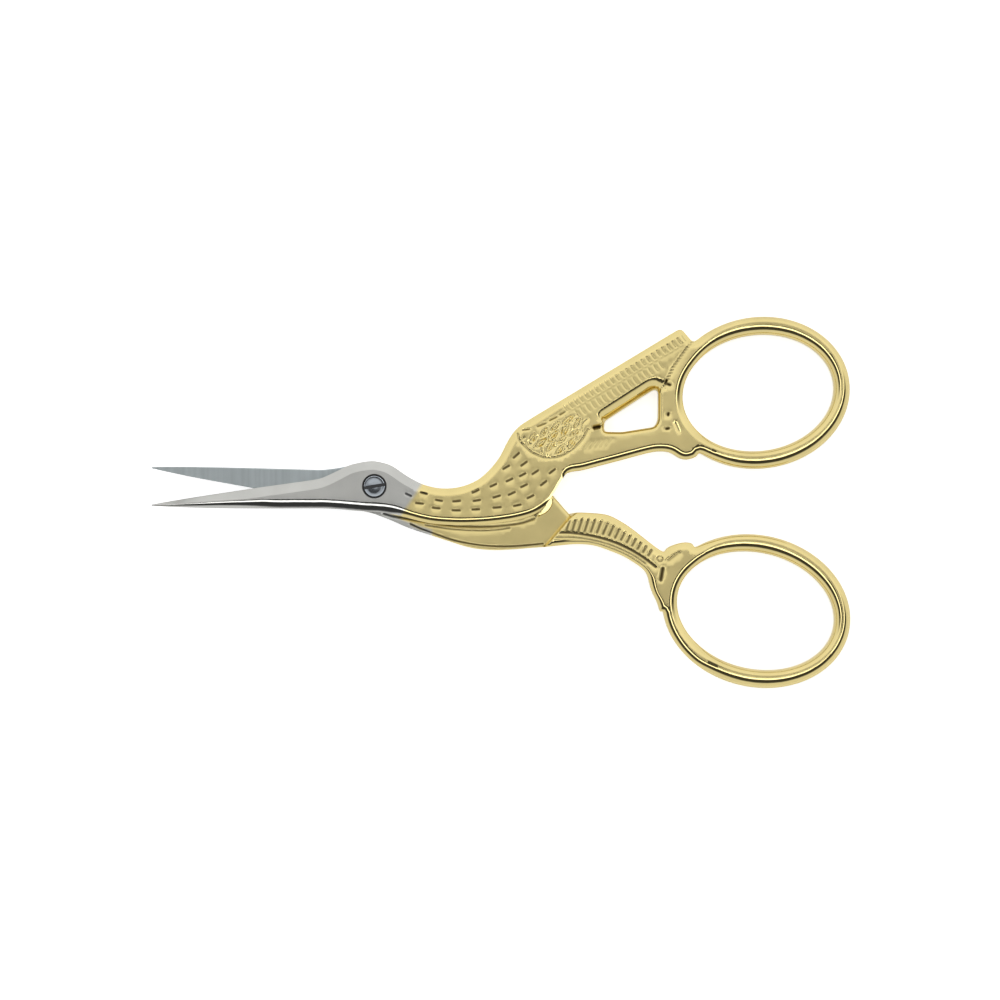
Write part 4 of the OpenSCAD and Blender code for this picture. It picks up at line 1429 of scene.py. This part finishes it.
def turned(name, profile):
    """An object spun from its profile round the screw's axis."""
    obj = new_object(name, [])
    bm = bmesh.new()
    spine = [bm.verts.new((x, 0, z)) for x, z in profile]
    for a, b in zip(spine, spine[1:]):
        bm.edges.new((a, b))
    bmesh.ops.spin(bm, geom=bm.verts[:] + bm.edges[:], cent=(0, 0, 0), axis=(0, 0, 1),
                   angle=math.tau, steps=SCREW_SIDES)
    bmesh.ops.remove_doubles(bm, verts=bm.verts, dist=1e-7)
    bmesh.ops.recalc_face_normals(bm, faces=bm.faces)
    bm.to_mesh(obj.data)
    bm.free()
    return obj


def slot_cutter(length, foot):
    """A bar as wide as the slot, wider at its top, that reaches a little over the head."""
    obj = new_object("slot_cutter", [])
    bm = bmesh.new()
    bmesh.ops.create_cube(bm, size=1)
    for v in bm.verts:
        wide = SLOT_WIDTHS[0] if v.co.z > 0 else SLOT_WIDTHS[1]
        across = Vector((v.co.x * length, v.co.y * wide * MM, 0))
        across.rotate(Vector((1, 0, 0)).rotation_difference(Vector((*direction(SLOT_TURN), 0))))
        v.co = (across.x, across.y, foot + (v.co.z + 0.5) * (SLOT_DEPTH + 0.01) * MM)
    bm.to_mesh(obj.data)
    bm.free()
    return obj


class SCISSORS_OT_pivot_screw(bpy.types.Operator):
    """Turn the slotted pivot screw with its chamfered head"""
    bl_idname = "scissors.pivot_screw"
    bl_label = "Pivot screw"

    def execute(self, context):
        profile = screw_profile()
        head_r, top = max(profile)[0], profile[-1][1]
        screw = turned("pivot_screw_turned", profile)
        slot = slot_cutter(4 * head_r, top - SLOT_DEPTH * MM)
        cut = screw.modifiers.new("Slot", "BOOLEAN")
        cut.operation, cut.solver, cut.object = "DIFFERENCE", "EXACT", slot
        plain_mesh(screw)
        bpy.data.objects.remove(slot)
        if not screw.data.polygons:
            raise RuntimeError("the slot cut the whole screw away")
        # Painted shade: below its top, in the slot and down its sides, the screw is painted dark through the
        # cut attribute
        co = np.array([v.co for v in screw.data.vertices])
        sunk = (co[:, 2] < top - 0.1 * MM).astype(np.float32)
        write_attribute(screw, "cut", sunk)
        write_attribute(screw, "plated", sunk * 0 - 9)
        screw.data.materials.clear()
        screw.data.materials.append(screw_material())
        screw.data.shade_smooth()
        screw.data.set_sharp_from_angle(angle=math.radians(25))
        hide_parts("pivot_screw")
        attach(screw, "rear_half")
        return {"FINISHED"}


# Brightness by the angle from straight up, in degrees: towards the viewer's edge, and towards the far edge
NEAR_LIGHT = [(0, 0.76), (2.5, 0.66), (4, 0.08), (18, 0.08), (20, 2.4), (27, 2.4), (29, 0.05), (50, 0.06),
              (58, 0.85), (180, 1.0)]
FAR_LIGHT = [(0, 0.76), (4, 0.8), (12, 0.98), (25, 1.1), (45, 1.05), (60, 1.02), (90, 1.0), (180, 1.0)]

# The floor's half width, how far under the scissors it lies, and its glow for the metal and for the eye
FLOOR_REACH = 2
FLOOR_DROP = 0.02 * MM
FLOOR_GLOW = (0.3, 0.68)


def studio_world(scene):
    """A pale surround, even on the far side, with a bright strip between dark ones on the near side."""
    world = bpy.data.worlds.new("Studio")
    scene.world = world
    world.use_nodes = True
    world.node_tree.nodes.clear()
    add = node_adder(world.node_tree)
    place = add("ShaderNodeTexCoord").outputs["Generated"]
    split = add("ShaderNodeSeparateXYZ", {0: place})
    angle = add("ShaderNodeMath", {0: split.outputs["Z"]}, operation="ARCCOSINE")
    share = add("ShaderNodeMath", {0: angle.outputs[0], 1: 1 / math.pi}, operation="MULTIPLY")
    level = add("ShaderNodeCombineXYZ", {"X": split.outputs["X"], "Y": split.outputs["Y"]})
    reach = add("ShaderNodeVectorMath", {0: level.outputs[0]}, operation="LENGTH")
    safe = add("ShaderNodeMath", {0: reach.outputs["Value"], 1: 0.0001}, operation="MAXIMUM")
    across = add("ShaderNodeMath", {0: split.outputs["Y"], 1: safe.outputs[0]}, operation="DIVIDE")
    near = add("ShaderNodeMapRange", {
        "Value": across.outputs[0], "From Min": 0.4, "From Max": -0.1}, interpolation_type="SMOOTHSTEP")
    ramps = [add("ShaderNodeValToRGB", {"Fac": share.outputs[0]}) for _ in range(2)]
    for ramp, stops in zip(ramps, (FAR_LIGHT, NEAR_LIGHT)):
        while len(ramp.color_ramp.elements) < len(stops):
            ramp.color_ramp.elements.new(0.5)
        for element, (degrees, value) in zip(ramp.color_ramp.elements, stops):
            element.position = degrees / 180
            element.color = (value, value, value, 1)
    both = add("ShaderNodeMix", {
        0: near.outputs[0], 6: ramps[0].outputs[0], 7: ramps[1].outputs[0]}, data_type="RGBA")
    back = add("ShaderNodeBackground", {"Color": both.outputs[2], "Strength": 1.0})
    add("ShaderNodeOutputWorld", {"Surface": back.outputs[0]})


def floor_material(floor_colour):
    """A matt pale floor, brighter to the eye than to the metal that it is mirrored in."""
    material, add, surface = new_material("Pale floor")
    links = material.node_tree.links
    grain = add("ShaderNodeTexNoise", {"Scale": 30.0})
    tint = add("ShaderNodeMapRange", {"Value": grain.outputs["Fac"], "To Min": 0.985, "To Max": 1.0})
    colour = add("ShaderNodeMix", {0: 1.0, 6: (*floor_colour, 1), 7: tint.outputs[0]},
                 data_type="RGBA", blend_type="MULTIPLY")
    seen = add("ShaderNodeLightPath").outputs["Is Camera Ray"]
    glow = add("ShaderNodeMapRange", {"Value": seen, "To Min": FLOOR_GLOW[0], "To Max": FLOOR_GLOW[1]})
    links.new(colour.outputs[2], surface.inputs["Base Color"])
    links.new(glow.outputs[0], surface.inputs["Emission Strength"])
    surface.inputs["Emission Color"].default_value = (1, 1, 1, 1)
    surface.inputs["Roughness"].default_value = 0.9
    surface.inputs["Specular IOR Level"].default_value = 0.1
    return material


class SCISSORS_OT_stage(bpy.types.Operator):
    """Set the pale floor, the soft light and the camera straight above"""
    bl_idname = "scissors.stage"
    bl_label = "Stage"

    def execute(self, context):
        scene, stage = context.scene, context.scene.scissors_stage
        scene.view_settings.view_transform = "Standard"
        corners = [(x * FLOOR_REACH, y * FLOOR_REACH, -FLOOR_DROP) for x, y in (
            (-1, -1), (1, -1), (1, 1), (-1, 1))]
        floor = new_object("floor", corners, [], [(0, 1, 2, 3)])
        floor.data.materials.append(floor_material(stage.floor_colour))
        studio_world(scene)

        camera = bpy.data.cameras.new("camera")
        eye = bpy.data.objects.new("camera", camera)
        scene.collection.objects.link(eye)
        pixel = stage.view_width / PHOTO_SIZE
        middle = PHOTO_SIZE / 2
        eye.location = ((middle - SCREW_PIXEL[0]) * pixel, (SCREW_PIXEL[1] - middle) * pixel,
                        CAD_BOX[1].z + stage.camera_height)
        camera.lens = camera.sensor_width * stage.camera_height / stage.view_width
        camera.clip_start, camera.clip_end = 0.01, 10
        scene.camera = eye
        return {"FINISHED"}


class SCISSORS_PT_panel(bpy.types.Panel):
    """The scissors' pieces and their sizes"""
    bl_idname = "SCISSORS_PT_panel"
    bl_label = "Stork Scissors"
    bl_space_type = "VIEW_3D"
    bl_region_type = "UI"
    bl_category = "Scissors"

    def draw(self, context):
        for operator in OPERATORS:
            self.layout.operator(operator.bl_idname)
        for group in GROUPS:
            settings = getattr(context.scene, group)
            for name in settings.bl_rna.properties.keys():
                if name not in ("rna_type", "name"):
                    self.layout.prop(settings, name)


OPERATORS = (SCISSORS_OT_front_half, SCISSORS_OT_rear_half, SCISSORS_OT_pivot_screw, SCISSORS_OT_stage)
GROUPS = {
    "scissors_forging": ForgingSettings, "scissors_carving": CarvingSettings,
    "scissors_finish": FinishSettings, "scissors_stage": StageSettings}


def register():
    for cls in (*GROUPS.values(), *OPERATORS, SCISSORS_PT_panel):
        bpy.utils.register_class(cls)
    for name, group in GROUPS.items():
        setattr(bpy.types.Scene, name, bpy.props.PointerProperty(type=group))


def unregister():
    for name in GROUPS:
        delattr(bpy.types.Scene, name)
    for cls in reversed((*GROUPS.values(), *OPERATORS, SCISSORS_PT_panel)):
        bpy.utils.unregister_class(cls)


def main():
    register()
    bpy.ops.scissors.front_half()
    bpy.ops.scissors.rear_half()
    bpy.ops.scissors.pivot_screw()
    bpy.ops.scissors.stage()


if __name__ == "__main__":
    main()
